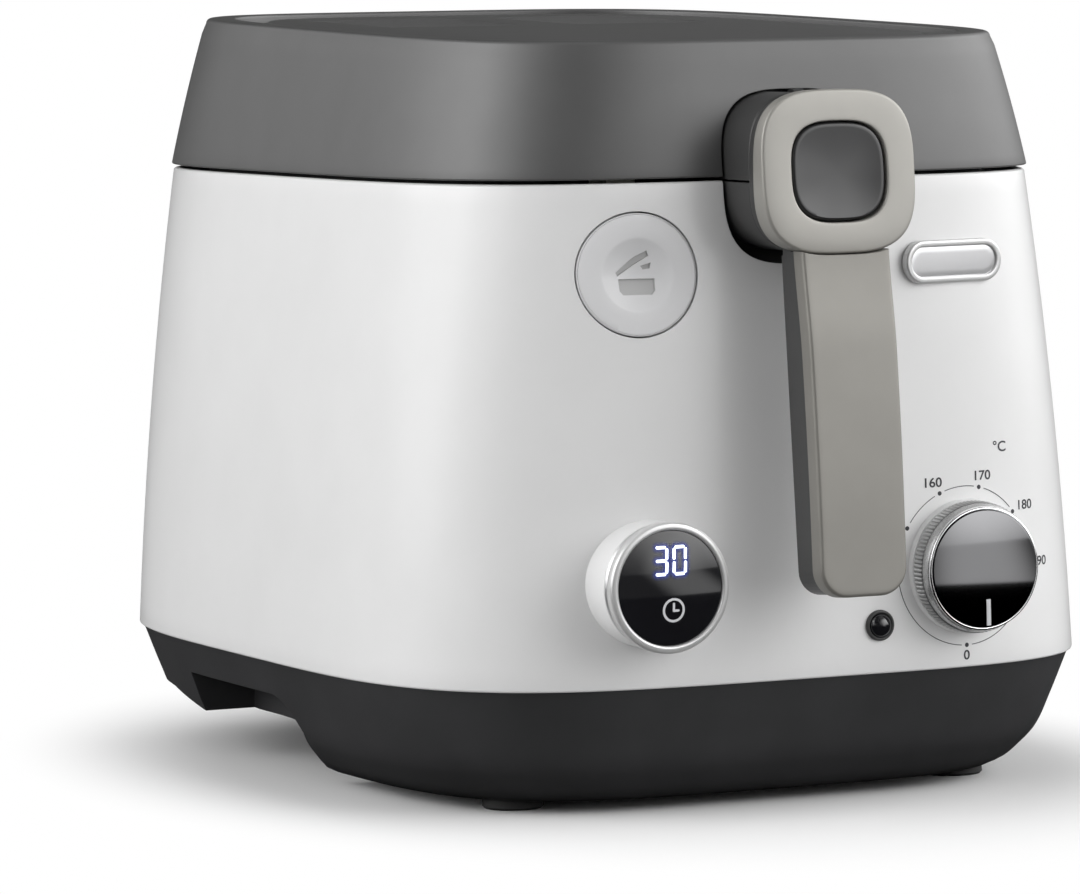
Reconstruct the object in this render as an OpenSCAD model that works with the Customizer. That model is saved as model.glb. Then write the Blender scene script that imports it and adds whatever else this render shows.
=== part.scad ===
// Deep fryer with a tapered housing, a hinged lid and a fold-out basket handle.
// The front faces -Y, +Z is up, and the origin is under the centre of the overall box.

/* [Housing] */
// Height of the feet under the base
foot_h = 5; // [3:0.5:10]
// Top of the dark base, where the light housing starts
base_top_z = 54.5; // [45:0.5:70]
// Height of the seam between housing and lid
seam_z = 262; // [250:1:275]
// Width of the housing at its lower edge
body_low_w = 340; // [330:1:350]
// Depth of the housing at its lower edge
body_low_d = 419.8; // [412:1:430]
// Width of the housing at the seam
body_top_w = 297.4; // [290:1:306]
// Depth of the housing at the seam
body_top_d = 407.4; // [402:1:412]
// Outward bow of the walls at half height
wall_bow = 2; // [0:0.5:3]
// Squareness of the outline, 2 is an ellipse
outline_power = 4; // [3.6:0.1:4.6]
// Wall thickness of housing, base and lid
shell_t = 3; // [2.5:0.25:3.5]
// Step in from the housing to the base
base_step = 1.5; // [1:0.25:3]

/* [Lid] */
// Width of the lid's top rim
lid_top_w = 268.2; // [260:1:276]
// Depth of the lid's top rim
lid_top_d = 381.5; // [374:1:388]
// Height of the lid's top rim at its middle
lid_top_z = 325.3; // [320:1:332]
// Rise of the lid's top towards the rear, in mm per mm
lid_slope = 0.0291; // [0:0.001:0.035]
// Gap between lid and housing
seam_gap = 1.5; // [1:0.25:2]
// Width of the rim around the filter cover
rim_w = 12; // [9:0.5:16]
// Depth of the recess that the filter cover lies in
recess_h = 9; // [7:0.5:12]
// Clearance around the filter cover
cover_gap = 3; // [2:0.5:5]

/* [Bowl and basket] */
// Room between the housing's half width at the seam and the bowl's mouth
side_room = 21.7; // [20:0.1:26]
// Room between the housing's half depth at the seam and the bowl's mouth, for latch and handle
front_room = 31.7; // [30:0.1:38]
// Height of the bowl's rim
bowl_rim_z = 222; // [216:1:224]
// Height of the bowl's floor
bowl_floor_z = 86; // [80:1:95]
// Wall thickness of the bowl
bowl_t = 2; // [1.5:0.25:3]
// Clearance between the basket and the lower part of the bowl
basket_gap = 6; // [4:1:12]
// Height of the basket's rim above the floor
basket_rim_z = 236; // [230:1:240]
// Height of the basket
basket_h = 128; // [110:1:136]
// Travel of the basket when the handle is raised
lift_travel = 35; // [25:1:36]

/* [Handle] */
// Half width of the handle's head
head_a = 35.2; // [32:0.1:36]
// Half height of the handle's head
head_b = 33.5; // [31:0.1:34.5]
// Height of the head's centre
head_z = 265.7; // [263:0.1:268]
// Distance of the head's face in front of the housing's middle
head_face = 240; // [237:0.5:242]
// Depth of the head
head_t = 15; // [13:0.5:16]
// Lean of the head's face: depth gained per unit of height
head_slope = 0.09; // [0:0.01:0.12]
// Width of the arm at its top
arm_top_w = 40.5; // [36:0.5:44]
// Width of the arm at its lower end
arm_low_w = 39.6; // [34:0.5:42]
// Height of the arm's lower end
arm_low_z = 93; // [85:1:110]
// Distance of the arm's lower end in front of the housing's middle
arm_reach = 258.5; // [252:0.5:264]
// Depth of the arm
arm_t = 22.5; // [18:0.5:23]
// Largest angle of the handle
handle_open = 90; // [80:1:90]

/* [Controls] */
// Height of the knob and the timer
dial_z = 98; // [92:1:106]
// Distance of the knob and the timer from the middle
dial_x = 73.7; // [68:0.1:80]
// Distance of the temperature knob from the middle
knob_x = 75; // [70:0.1:80]
// Height of the temperature knob's axis
knob_z = 97.4; // [92:0.1:106]
// Diameter of the knob's skirt
knob_d = 56; // [50:1:60]
// How far the knob stands out of the housing
knob_h = 18; // [16:1:24]
// Diameter of the timer's chrome ring
timer_d = 53; // [48:1:56]
// How far the timer stands out of the housing
timer_h = 22; // [18:1:24]
// Travel of the timer's face when pressed
timer_travel = 1.2; // [0.8:0.1:1.5]
// Diameter of the lid-release button
release_d = 50.7; // [44:0.5:54]
// Height of the lid-release button and the badge plate
release_z = 224.5; // [220:0.5:228]
// Travel of the lid-release button
release_travel = 4; // [3:0.5:4.5]
// Distance of the pilot lamp from the middle
lamp_x = 32.3; // [28:0.1:36]
// Height of the pilot lamp
lamp_z = 74.9; // [72:0.1:80]
// Diameter of the pilot lamp's bezel
lamp_d = 13; // [11:0.5:15]
// Length of the bare badge plate
badge_w = 50.5; // [44:0.5:54]
// Height of the bare badge plate
badge_h = 18; // [14:0.5:20]

/* [Pins and fits] */
// Radius of the lid's hinge pin
hinge_pin_r = 2; // [1.5:0.25:2.5]
// Radius of the handle's pivot pin
handle_pin_r = 3; // [2.5:0.25:3.5]
// Radius of the lift pin that follows the handle's cam
lift_pin_r = 2; // [1.75:0.25:2.25]
// Radius of the thermostat's shaft
shaft_r = 3; // [2.5:0.25:3.5]
// Radius of the cord gland's bore
gland_r = 4; // [3:0.25:5]
// Radial clearance of a running fit
run_fit = 0.06; // [0.03:0.01:0.1]
// Clearance between a moving piece and its guide
slide_gap = 0.5; // [0.3:0.1:0.6]

/* [Hidden] */
$fn = 48;
eps = 0.01;

// Colours
white = [0.93, 0.93, 0.93];
charcoal = [0.2, 0.2, 0.21];
lid_grey = [0.36, 0.36, 0.35];
champagne = [0.76, 0.75, 0.72];
black = [0.08, 0.08, 0.09];
chrome = [0.8, 0.81, 0.83];
steel = [0.62, 0.63, 0.65];
rubber = [0.13, 0.13, 0.13];
brass = [0.78, 0.66, 0.35];
natural = [0.85, 0.84, 0.8];

// Overall outline
outline_count = 64;
bowl_a = body_top_w / 2 - side_room;
bowl_b = body_top_d / 2 - front_room;
collar_t = 3;
// A plane well in front of or behind the housing, for cuts that pass through a wall
outside_y = max(body_low_d, body_top_d) / 2 + 10;
hinge_reach = 5.5;
body_mid_shift = 0.7;
rear_y = body_top_d / 2 + body_mid_shift + 1.6 + hinge_reach;
row_shift = (arm_reach - rear_y) / 2;
lid_low_z = seam_z + seam_gap;

// Share of the way from the housing's lower edge to the seam
function rise(z) = (z - base_top_z) / (seam_z - base_top_z);
function bow(z) = wall_bow * 4 * rise(z) * (1 - rise(z));
function wall_a(z) = body_low_w / 2 + (body_top_w - body_low_w) / 2 * rise(z) + bow(z);
function wall_b(z) = body_low_d / 2 + (body_top_d - body_low_d) / 2 * rise(z) + bow(z);
function wall_cy(z) = body_mid_shift * rise(z);
// Y of the housing's front and rear at a height, and at a distance from the middle
function inset_at(x, z) = 1 - pow(1 - pow(abs(x) / wall_a(z), outline_power), 1 / outline_power);
function front_y(x, z) = wall_cy(z) - wall_b(z) * (1 - inset_at(x, z));
function back_y(x, z) = wall_cy(z) + wall_b(z) * (1 - inset_at(x, z));

// Points of a superellipse
function squircle(a, b, power = outline_power, cy = 0, count = outline_count) = [
    for (i = [0 : count - 1]) let (t = 360 * (i + 0.5) / count, c = cos(t), s = sin(t))
        [a * sign(c) * pow(abs(c), 2 / power), cy + b * sign(s) * pow(abs(s), 2 / power)]
];

// Solid through rings of [z, half width, half depth, centre y, slope]
module loft(rings, power = outline_power, count = outline_count) {
    points = [for (r = rings) for (p = squircle(r[1], r[2], power, r[3], count))
        [p[0], p[1], r[0] + (len(r) > 4 ? r[4] : 0) * p[1]]];
    last = (len(rings) - 1) * count;
    sides = [for (k = [0 : len(rings) - 2]) for (i = [0 : count - 1])
        let (j = (i + 1) % count, low = k * count, high = low + count)
        [low + i, high + i, high + j, low + j]];
    bottom = [[for (i = [0 : count - 1]) i]];
    top = [[for (i = [0 : count - 1]) last + count - 1 - i]];
    polyhedron(concat(points), concat(sides, bottom, top), convexity = 6);
}

// Prism over a superellipse, standing on z
module squircle_prism(a, b, z, h, power = outline_power, cy = 0, count = outline_count) {
    translate([0, 0, z]) linear_extrude(h) polygon(squircle(a, b, power, cy, count));
}

// Everything is drawn about the housing's middle and then set in the row's frame
module in_row() { translate([0, row_shift, 0]) children(); }

// Cylinders along the front-to-back and side-to-side directions
module rod_y(r, y0, y1) { translate([0, y0, 0]) rotate([-90, 0, 0]) cylinder(r = r, h = y1 - y0); }
module cone_y(r0, r1, y0, y1) {
    translate([0, y0, 0]) rotate([-90, 0, 0]) cylinder(r1 = r0, r2 = r1, h = y1 - y0);
}
module rod_x(r, x0, x1) { translate([x0, 0, 0]) rotate([0, 90, 0]) cylinder(r = r, h = x1 - x0); }
module box_between(lo, hi) { translate(lo) cube(hi - lo); }

// Solid extruded from front to back, drawn as seen from the front
module extrude_y(y0, y1) { translate([0, y1, 0]) rotate([90, 0, 0]) linear_extrude(y1 - y0) children(); }

// Stack of spring coils about the vertical axis
module coil_stack(r, wire_r, h, coils) {
    pitch = h / coils;
    rotate_extrude() polygon(concat(
        [for (i = [0 : 2 * coils]) [r + wire_r * (i % 2), i * pitch / 2]],
        [for (i = [2 * coils : -1 : 0]) [r - wire_r * (i % 2) - 0.4, i * pitch / 2]]));
}

// ---------- housing ----------
wall_levels = [0, 0.1, 0.25, 0.5, 0.75, 1];

// Solid of the housing, shrunk by t all round
module housing_solid(t, z0, z1) {
    loft([for (k = wall_levels) let (z = z0 + (z1 - z0) * k)
        [z, wall_a(z) - t, wall_b(z) - t, wall_cy(z)]]);
}

// Openings in the front wall for the handle's hub
pocket_a = 34.8;
pocket_z = 263;
pocket_b = 36;
pocket_back = -bowl_b - collar_t - 1;
module pocket_cut(grow = 0, back = pocket_back) {
    extrude_y(-head_face - 20, back + grow)
        translate([0, pocket_z]) polygon(squircle(pocket_a + grow, pocket_b + grow, 3.2, 0, 48));
}

// Bay behind the lid-release button, open through the bowl's flange and the collar
module release_bay() {
    box_between([-dial_x - bay_reach, -outside_y, ledge_z - 4],
        [-dial_x + bay_reach, -collar_inner_b - collar_t, seam_z + 1]);
}
guide_r = release_d / 2 + 3;
bay_reach = guide_r + 3;

// Hinge position and the X ranges of its knuckles
hinge_y = rear_y - hinge_reach;
hinge_z = seam_z;
hinge_x = 62;
knuckle_w = 24;
side_knuckle_w = 14;
knuckle_gap = 0.4;
hinge_half = knuckle_w / 2 + knuckle_gap + side_knuckle_w;
module hinge_relief() {
    for (s = [-1, 1]) box_between(
        [s * hinge_x - hinge_half - 1, hinge_y - 14, hinge_z - hinge_reach - 1],
        [s * hinge_x + hinge_half + 1, hinge_y + hinge_reach + 5, hinge_z + hinge_reach + 1]);
}

timer_bezel_r = timer_d / 2 + 1.5;
timer_neck_r = timer_d / 2 - 7.2;
gland_x = 110;
gland_z = 84;
gland_hole_r = gland_r + 4;
gland_flange = 3;
ledge_z = bowl_rim_z - bowl_t - 4;
ledge_w = 8;

module body_shell() {
    color(white) in_row() difference() {
        union() {
            difference() {
                housing_solid(0, base_top_z, seam_z);
                housing_solid(shell_t, base_top_z - 1, seam_z + 1);
            }
            intersection() {
                housing_solid(shell_t / 2, base_top_z, seam_z);
                difference() {
                    squircle_prism(body_low_w / 2, body_low_d / 2, ledge_z - 3, 3);
                    squircle_prism(wall_a(ledge_z) - shell_t - ledge_w,
                        wall_b(ledge_z) - shell_t - ledge_w, ledge_z - 4, 5);
                    release_bay();
                }
            }
            translate([knob_x, 0, knob_z]) rod_y(knob_d / 2 - 1, knob_base_y + 0.6, stat_y - 1);
        }
        pocket_cut();
        badge_place() extrude_y(-4, 0.9) stadium(badge_w + 0.2, badge_h + 0.2);
        hinge_relief();
        translate([-dial_x, 0, release_z]) rod_y(release_d / 2 + slide_gap, -outside_y, -bowl_b);
        translate([-dial_x, 0, dial_z]) rod_y(timer_neck_r + 0.7, -outside_y, -bowl_b);
        translate([knob_x, 0, knob_z]) rod_y(shaft_r + 4, -outside_y, -bowl_b);
        translate([lamp_x, 0, lamp_z]) rod_y(lamp_d / 2 - 2, -outside_y, -bowl_b);
        translate([gland_x, 0, gland_z]) rod_y(gland_hole_r, bowl_b, outside_y);
    }
}

// Base tub: hand grips are scooped out of both long sides
base_low_inset = 31;
base_bevel_z = 12;
base_mid_z = 21;
grip_front_y = -44;
grip_rear_y = 76;
grip_top_z = 39;
grip_depth_x = body_low_w / 2 - 38;
function base_inset(z) = z <= base_bevel_z
    ? base_low_inset - 10 * (z - foot_h) / (base_bevel_z - foot_h)
    : z <= base_mid_z ? 21 - 7.2 * (z - base_bevel_z) / (base_mid_z - base_bevel_z)
    : 13.8 - (13.8 - base_step) * (z - base_mid_z) / (base_top_z - base_mid_z);

module base_solid(t, z0) {
    levels = concat([z0], [for (z = [base_bevel_z, base_mid_z, base_top_z]) if (z > z0) z]);
    loft([for (z = levels) let (i = base_inset(z) + t)
        [z + (z == base_top_z && t > 0 ? 1 : 0), body_low_w / 2 - i, body_low_d / 2 - i, 0]]);
}

module grip_scoop(grow, x_in) {
    for (s = [-1, 1]) intersection() {
        box_between([s > 0 ? x_in : -body_low_w, grip_front_y - grow, foot_h - 5],
            [s > 0 ? body_low_w : -x_in, grip_rear_y + grow, grip_top_z + grow]);
        translate([0, 0, grip_top_z + grow]) rotate([0, 90, 0]) linear_extrude(2 * body_low_w, center = true)
            polygon(concat(
                [[-1, grip_rear_y + grow], [60, grip_rear_y + grow], [60, grip_front_y - grow + 24],
                    [30, grip_front_y - grow + 8]],
                [for (t = [30 : 15 : 90]) [30 - 30 * sin(t), grip_front_y - grow + 26 - 26 * cos(t)]]));
    }
}

foot_x = body_low_w / 2 - 65;
foot_y = body_low_d / 2 - 69.9;
foot_r = 13;
rear_foot_x = foot_x - 50;
rear_foot_y = foot_y + 10;
belly_z = 21;
belly_rear_z = 29;
function screw_x(sy) = sy > 0 ? foot_x - 25 : foot_x;
function screw_y(sy) = sy > 0 ? foot_y + 30 : 45 - foot_y;
function screw_floor(sy) = sy > 0 ? belly_rear_z : foot_h;
cavity_floor_z = foot_h + shell_t;

// Room under the raised rear part of the base
module belly(grow) {
    rotate([90, 0, 90]) linear_extrude(2 * body_low_w, center = true) polygon([
        [grip_front_y + 4 - grow, -foot_h], [grip_front_y + 12 - grow, foot_h + 3 + grow],
        [-4 - grow, belly_z - 4.2 + grow], [33, belly_z + grow], [grip_rear_y + 2, belly_z + grow],
        [grip_rear_y + 40, belly_rear_z + grow], [body_low_d, belly_rear_z + grow], [body_low_d, -foot_h]]);
}

module base_shell() {
    color(charcoal) in_row() difference() {
        union() {
            difference() {
                base_solid(0, foot_h);
                difference() {
                    base_solid(shell_t, cavity_floor_z);
                    belly(shell_t);
                }
            }
            intersection() {
                base_solid(0.5, foot_h);
                grip_scoop(shell_t, grip_depth_x - shell_t);
            }
            for (sx = [-1, 1], sy = [-1, 1]) translate([sx * screw_x(sy), screw_y(sy), screw_floor(sy)])
                cylinder(r = 6, h = 30);
        }
        grip_scoop(0, grip_depth_x);
        belly(0);
        for (sx = [-1, 1], sy = [-1, 1]) translate([sx * screw_x(sy), screw_y(sy), screw_floor(sy) - 5]) {
            cylinder(r = 2 + slide_gap, h = 40);
            cylinder(r = 4.5, h = 7.5);
        }
    }
}

module foot(x, y, h) {
    color(rubber) in_row() translate([x, y, 0]) rotate_extrude()
        polygon([[0, 0], [foot_r - 1, 0], [foot_r, 1], [foot_r - 0.5, h], [0, h]]);
}
module foot_front_left() { foot(-foot_x, -foot_y, foot_h); }
module foot_front_right() { foot(foot_x, -foot_y, foot_h); }
module foot_rear_left() { foot(-rear_foot_x, rear_foot_y, belly_rear_z); }
module foot_rear_right() { foot(rear_foot_x, rear_foot_y, belly_rear_z); }

module base_screws() {
    color(steel) in_row() for (sx = [-1, 1], sy = [-1, 1])
        translate([sx * screw_x(sy), screw_y(sy), screw_floor(sy)]) difference() {
            union() {
                translate([0, 0, -1]) cylinder(r = 4, h = 3.5);
                cylinder(r = 2, h = shield_z - screw_floor(sy));
            }
            for (a = [0, 90]) rotate(a) translate([-2.5, -0.5, -2]) cube([5, 1, 2]);
        }
}

// ---------- bowl and heater ----------
flange_a = wall_a(ledge_z) - shell_t - 1.5;
flange_b = wall_b(ledge_z) - shell_t - 1.5;
bowl_taper = 10;

module bowl_solid(t, z0, z1) {
    loft([[z0, bowl_a - bowl_taper - 12 - t, bowl_b - bowl_taper - 12 - t, 0],
        [z0 + 6, bowl_a - bowl_taper - 3 - t, bowl_b - bowl_taper - 3 - t, 0],
        [z0 + 18, bowl_a - bowl_taper - t, bowl_b - bowl_taper - t, 0],
        [z1, bowl_a - t, bowl_b - t, 0]], 4, 56);
}

module bowl() {
    color(black) in_row() difference() {
        union() {
            bowl_solid(0, bowl_floor_z, bowl_rim_z);
            squircle_prism(flange_a, flange_b, bowl_rim_z - bowl_t, bowl_t, outline_power, 0, 56);
            squircle_prism(flange_a, flange_b, ledge_z, bowl_rim_z - ledge_z - 1, outline_power, 0, 56);
        }
        difference() {
            squircle_prism(flange_a - bowl_t, flange_b - bowl_t, ledge_z - 1,
                bowl_rim_z - bowl_t - ledge_z + 1, outline_power, 0, 56);
            bowl_solid(0, bowl_floor_z, bowl_rim_z);
        }
        bowl_solid(bowl_t, bowl_floor_z + bowl_t, bowl_rim_z + 1);
        release_bay();
    }
}

// Collar between the bowl's flange and the top edge of the housing
collar_inner_a = bowl_a;
collar_inner_b = bowl_b;
module rim_collar() {
    color(charcoal) in_row() difference() {
        squircle_prism(wall_a(seam_z) - shell_t - 1, wall_b(seam_z) - shell_t - 1,
            bowl_rim_z, seam_z - bowl_rim_z - 2, outline_power, 0, 56);
        squircle_prism(collar_inner_a, collar_inner_b, bowl_rim_z - 1, seam_z - bowl_rim_z + 2,
            outline_power, 0, 56);
        difference() {
            squircle_prism(wall_a(seam_z) - shell_t - 4, wall_b(seam_z) - shell_t - 4,
                bowl_rim_z - 1, seam_z - bowl_rim_z - 4, outline_power, 0, 56);
            squircle_prism(collar_inner_a + collar_t, collar_inner_b + collar_t, bowl_rim_z - 2,
                seam_z - bowl_rim_z + 3, outline_power, 0, 56);
        }
        pocket_cut(2.5, -collar_inner_b + 5);
        hinge_relief();
        box_between([-hinge_x - hinge_half - 3, hinge_y - 21, seam_z - 34],
            [hinge_x + hinge_half + 3, outside_y, seam_z]);
        release_bay();
    }
}

element_r = 4;
element_a = bowl_a - 49;
element_b = bowl_b - 44;
element_z = bowl_floor_z - element_r;
// Heater loop under the bowl with two terminals at the rear
module heating_element() {
    corner = 40;
    color(steel) in_row() translate([0, 0, element_z]) {
        for (sx = [-1, 1], sy = [-1, 1])
            translate([sx * (element_a - corner), sy * (element_b - corner), 0])
            rotate(sx > 0 ? (sy > 0 ? 0 : 270) : (sy > 0 ? 90 : 180))
            rotate_extrude(angle = 90) translate([corner, 0]) circle(element_r);
        for (s = [-1, 1]) translate([0, s * element_b, 0])
            rod_x(element_r, -element_a + corner, s > 0 ? -14 : element_a - corner);
        translate([0, element_b, 0]) rod_x(element_r, 14, element_a - corner);
        for (s = [-1, 1]) translate([s * element_a, 0, 0])
            rod_y(element_r, -element_b + corner, element_b - corner);
        for (s = [-1, 1]) translate([s * 14, element_b, -14]) cylinder(r = element_r, h = 14 + element_r);
    }
}

shield_z = element_z - element_r - 6;
shield_t = 1.5;
shield_a = bowl_a - 7;
shield_b = bowl_b - 8;
module heat_shield() {
    color(steel) in_row() difference() {
        squircle_prism(shield_a, shield_b, shield_z, shield_t, 4, 0, 48);
        for (s = [-1, 1]) translate([s * 14, element_b, shield_z - 1]) cylinder(r = element_r + 4, h = 4);
        translate([0, 0, shield_z - 1]) cylinder(r = 12, h = 4);
        translate([sensor_x, sensor_y, shield_z - 1]) cylinder(r = 3, h = 4);
    }
}

post_x = 58;
post_y = 68;
function post_low_z(sy) = sy > 0 ? belly_z + shell_t : cavity_floor_z;
// Posts that carry the bowl and the heat shield on the base
module bowl_brackets() {
    color(steel) in_row() for (sx = [-1, 1], sy = [-1, 1]) translate([sx * post_x, sy * post_y, 0]) {
        translate([0, 0, post_low_z(sy)]) cylinder(r = 5, h = shield_z - post_low_z(sy));
        translate([0, 0, shield_z + shield_t]) cylinder(r = 5, h = bowl_floor_z - shield_z - shield_t);
    }
}

module thermal_cutout() {
    color(black) in_row() translate([0, 0, bowl_floor_z - 12]) {
        cylinder(r = 9, h = 12);
        for (s = [-1, 1]) translate([s * 5 - 3, -0.4, -8]) cube([6, 0.8, 9]);
    }
}

block_z = belly_rear_z + shell_t;
module terminal_block() {
    color(natural) in_row() difference() {
        box_between([gland_x - 34, 120, block_z], [gland_x - 2, 142, block_z + 18]);
        for (i = [0 : 2]) translate([gland_x - 28 + 10 * i, 131, block_z + 8])
            cylinder(r = 2.5, h = 12);
    }
}

gland_out = 8;
gland_slot = 6;
module cord_gland() {
    y = back_y(gland_x + gland_hole_r, gland_z);
    flange_y = back_y(gland_x + gland_hole_r + gland_flange, gland_z) - shell_t - 1.2;
    color(black) in_row() translate([gland_x, 0, gland_z]) difference() {
        union() {
            rod_y(gland_hole_r + gland_flange, flange_y - gland_slot, flange_y);
            rod_y(gland_hole_r - 0.2, flange_y - 1, y + gland_out);
        }
        rod_y(gland_r, y - 30, y + 20);
    }
}

// ---------- controls ----------
knob_base_y = front_y(knob_x - knob_d / 2, knob_z) - 0.6;
knob_face_y = front_y(knob_x, knob_z) - knob_h;
stat_half_w = 19;
stat_half_h = 13;
stat_y = front_y(knob_x + stat_half_w, knob_z + stat_half_h) + shell_t + 1;
sensor_x = 52;
sensor_y = -60;
module thermostat_body() {
    y = stat_y;
    color(steel) in_row() difference() {
        union() {
            box_between([knob_x - stat_half_w, y, knob_z - stat_half_h],
                [knob_x + stat_half_w, y + 20, knob_z + stat_half_h]);
            translate([knob_x, 0, knob_z]) rod_y(shaft_r + 3.4, front_y(knob_x, knob_z) + 0.5, y + 1);
            for (s = [-1, 1]) box_between([knob_x + s * 12 - 3, y + 20, knob_z - 8],
                [knob_x + s * 12 + 3, y + 28, knob_z - 7]);
        }
        translate([knob_x, 0, knob_z]) rod_y(shaft_r + run_fit, y - 20, y + 14);
    }
}

module thermostat_shaft() {
    color(brass) in_row() translate([knob_x, 0, knob_z]) rod_y(shaft_r, knob_face_y + 8, stat_y + 12);
}

// Sensor bulb under the bowl and the capillary tube that leads to it
module sensor_bulb() {
    y = stat_y + 10;
    tube_z = shield_z - 8;
    color(brass) in_row() union() {
        translate([knob_x, 0, tube_z]) rod_y(1, y - 1, sensor_y + 1);
        translate([knob_x, y, tube_z - 1]) cylinder(r = 1, h = knob_z - stat_half_h - tube_z + 1);
        translate([0, sensor_y, tube_z]) rod_x(1, sensor_x - 1, knob_x + 1);
        translate([sensor_x, sensor_y, tube_z - 1]) cylinder(r = 1, h = bowl_floor_z - tube_z - 3);
        translate([0, sensor_y, bowl_floor_z - 3.3]) rod_x(3, sensor_x - 48, sensor_x + 3);
    }
}

module thermostat_knob() {
    r = knob_d / 2;
    color(champagne) in_row() translate([knob_x, 0, knob_z]) difference() {
        union() {
            cone_y(r - 1.4, r, knob_face_y + 7, knob_face_y + 12);
            rod_y(r, knob_face_y + 12, knob_base_y);
            for (i = [0 : 59]) rotate([0, i * 6, 0]) translate([r - 0.5, 0, 0])
                rod_y(0.9, knob_face_y + 11, knob_base_y);
        }
        rod_y(shaft_r, knob_face_y, knob_base_y + 1);
        difference() {
            rod_y(r - 3, knob_face_y + 14, knob_base_y + 1);
            rod_y(shaft_r + 3, knob_face_y, knob_base_y + 2);
        }
    }
}

knob_cap_r = 25;
module knob_ring() {
    color(chrome) in_row() translate([knob_x, 0, knob_z]) difference() {
        cone_y(knob_cap_r + 0.5, knob_d / 2 - 1.4, knob_face_y + 2.5, knob_face_y + 7);
        rod_y(knob_cap_r - 1.5, knob_face_y, knob_face_y + 8);
    }
}

module knob_cap() {
    color(black) in_row() translate([knob_x, 0, knob_z]) {
        rotate([-90, 0, 0]) translate([0, 0, knob_face_y]) rotate_extrude() polygon(concat(
            [[0, 7], [0, 0]],
            [for (t = [0 : 10 : 90]) [(knob_cap_r - 1.6) * sin(t), 3 - 3 * cos(t)]],
            [[knob_cap_r - 1.6, 7]]));
        box_between([-1.6, knob_face_y - 0.6, -knob_cap_r + 2], [1.6, knob_face_y + 4, -7]);
    }
}

// Outer part of the housing, for trims that sit on its curved face
module housing_skin(t) {
    intersection() {
        housing_solid(t, base_top_z, seam_z);
        box_between([-170, -body_low_d / 2 - 3, base_top_z + 1], [170, -170, knob_z + 45]);
    }
}

module lamp_bezel() {
    y = front_y(lamp_x, lamp_z);
    color(champagne) in_row() translate([lamp_x, 0, lamp_z]) difference() {
        union() {
            difference() {
                rod_y(lamp_d / 2, y - 1.6, y + 2);
                translate([-lamp_x, 0, -lamp_z]) housing_skin(-0.05);
            }
            rod_y(lamp_d / 2 - 2.2, y - 1, y + 9);
        }
        rod_y(lamp_d / 2 - 1.5, y - 3, y);
        rod_y(lamp_d / 2 - 3.4, y - 3, y + 12);
    }
}

module pilot_lamp() {
    y = front_y(lamp_x, lamp_z);
    r = lamp_d / 2 - 1.6;
    color(black) in_row() translate([lamp_x, 0, lamp_z]) {
        rotate([-90, 0, 0]) translate([0, 0, y]) rotate_extrude() polygon(concat(
            [[0, -0.2], [0, -3.2]], [for (t = [15 : 15 : 90]) [r * sin(t), -1.2 - 2 * cos(t)]], [[r, -0.2]]));
        rod_y(lamp_d / 2 - 3.5, y - 1, y + 16);
    }
}

timer_face_y = front_y(-dial_x, dial_z) - timer_h;
timer_box = 24;
timer_wall_y = front_y(dial_x + timer_box, dial_z + timer_box) + shell_t + 1;
timer_glass_r = timer_d / 2 - 3.4;
face_t = 4.6;
timer_stem_end = 9;
module timer_bezel() {
    r = timer_bezel_r;
    color(white) in_row() translate([-dial_x, 0, dial_z]) difference() {
        union() {
            cone_y(r - 1.4, r + 0.6, timer_face_y + 5, timer_face_y + 16);
            rod_y(r + 0.6, timer_face_y + 16, timer_wall_y - 1);
        }
        translate([dial_x, 0, -dial_z]) housing_skin(-0.05);
        rod_y(timer_neck_r + 0.2, timer_face_y, timer_wall_y + timer_box);
        rod_y(timer_d / 2 - 2, timer_face_y, timer_face_y + face_t + timer_travel + 1.2);
    }
}

module timer_ring() {
    color(chrome) in_row() translate([-dial_x, 0, dial_z]) difference() {
        cone_y(timer_d / 2 - 1.5, timer_d / 2, timer_face_y, timer_face_y + 5);
        rod_y(timer_glass_r + slide_gap, timer_face_y - 1, timer_face_y + 6);
    }
}

module timer_face() {
    color(black) in_row() translate([-dial_x, 0, dial_z]) {
        rotate([-90, 0, 0]) translate([0, 0, timer_face_y]) rotate_extrude() polygon(concat(
            [[0, face_t], [0, 0]],
            [for (t = [0 : 10 : 90]) [timer_glass_r * sin(t), 1.8 - 1.8 * cos(t)]],
            [[timer_glass_r, face_t]]));
        rod_y(5, timer_face_y + face_t - 0.6, timer_face_y + timer_stem_end);
    }
}

module timer_module() {
    color(charcoal) in_row() translate([-dial_x, 0, dial_z]) difference() {
        union() {
            rod_y(timer_neck_r, timer_face_y + timer_stem_end, timer_wall_y + 1);
            box_between([-timer_box, timer_wall_y, -timer_box], [timer_box, timer_wall_y + 18, timer_box]);
        }
        rod_y(5 + slide_gap, timer_face_y + timer_stem_end - 1, timer_face_y + timer_stem_end + 4);
        rod_y(9.5, timer_face_y + timer_stem_end - 1, timer_face_y + timer_stem_end + 2);
    }
}

module timer_spring() {
    color(steel) in_row() translate([-dial_x, 0, dial_z]) rotate([-90, 0, 0])
        translate([0, 0, timer_face_y + 4.9]) coil_stack(7.5, 0.8, 5.8, 3);
}

module stadium(w, h) {
    square([w - h, h], center = true);
    for (s = [-1, 1]) translate([s * (w - h) / 2, 0]) circle(d = h);
}

badge_x = 72;
badge_turn = atan((front_y(badge_x + badge_w / 2, release_z) - front_y(badge_x - badge_w / 2, release_z))
    / badge_w);
module badge_place() {
    translate([badge_x, front_y(badge_x, release_z), release_z + 1]) rotate([0, 0, badge_turn]) children();
}
module badge_plate() {
    color(chrome) in_row() badge_place() difference() {
        extrude_y(-2.4, 0.8) stadium(badge_w, badge_h);
        extrude_y(-4, -1.4) stadium(badge_w - 3.2, badge_h - 3.2);
    }
}

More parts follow.
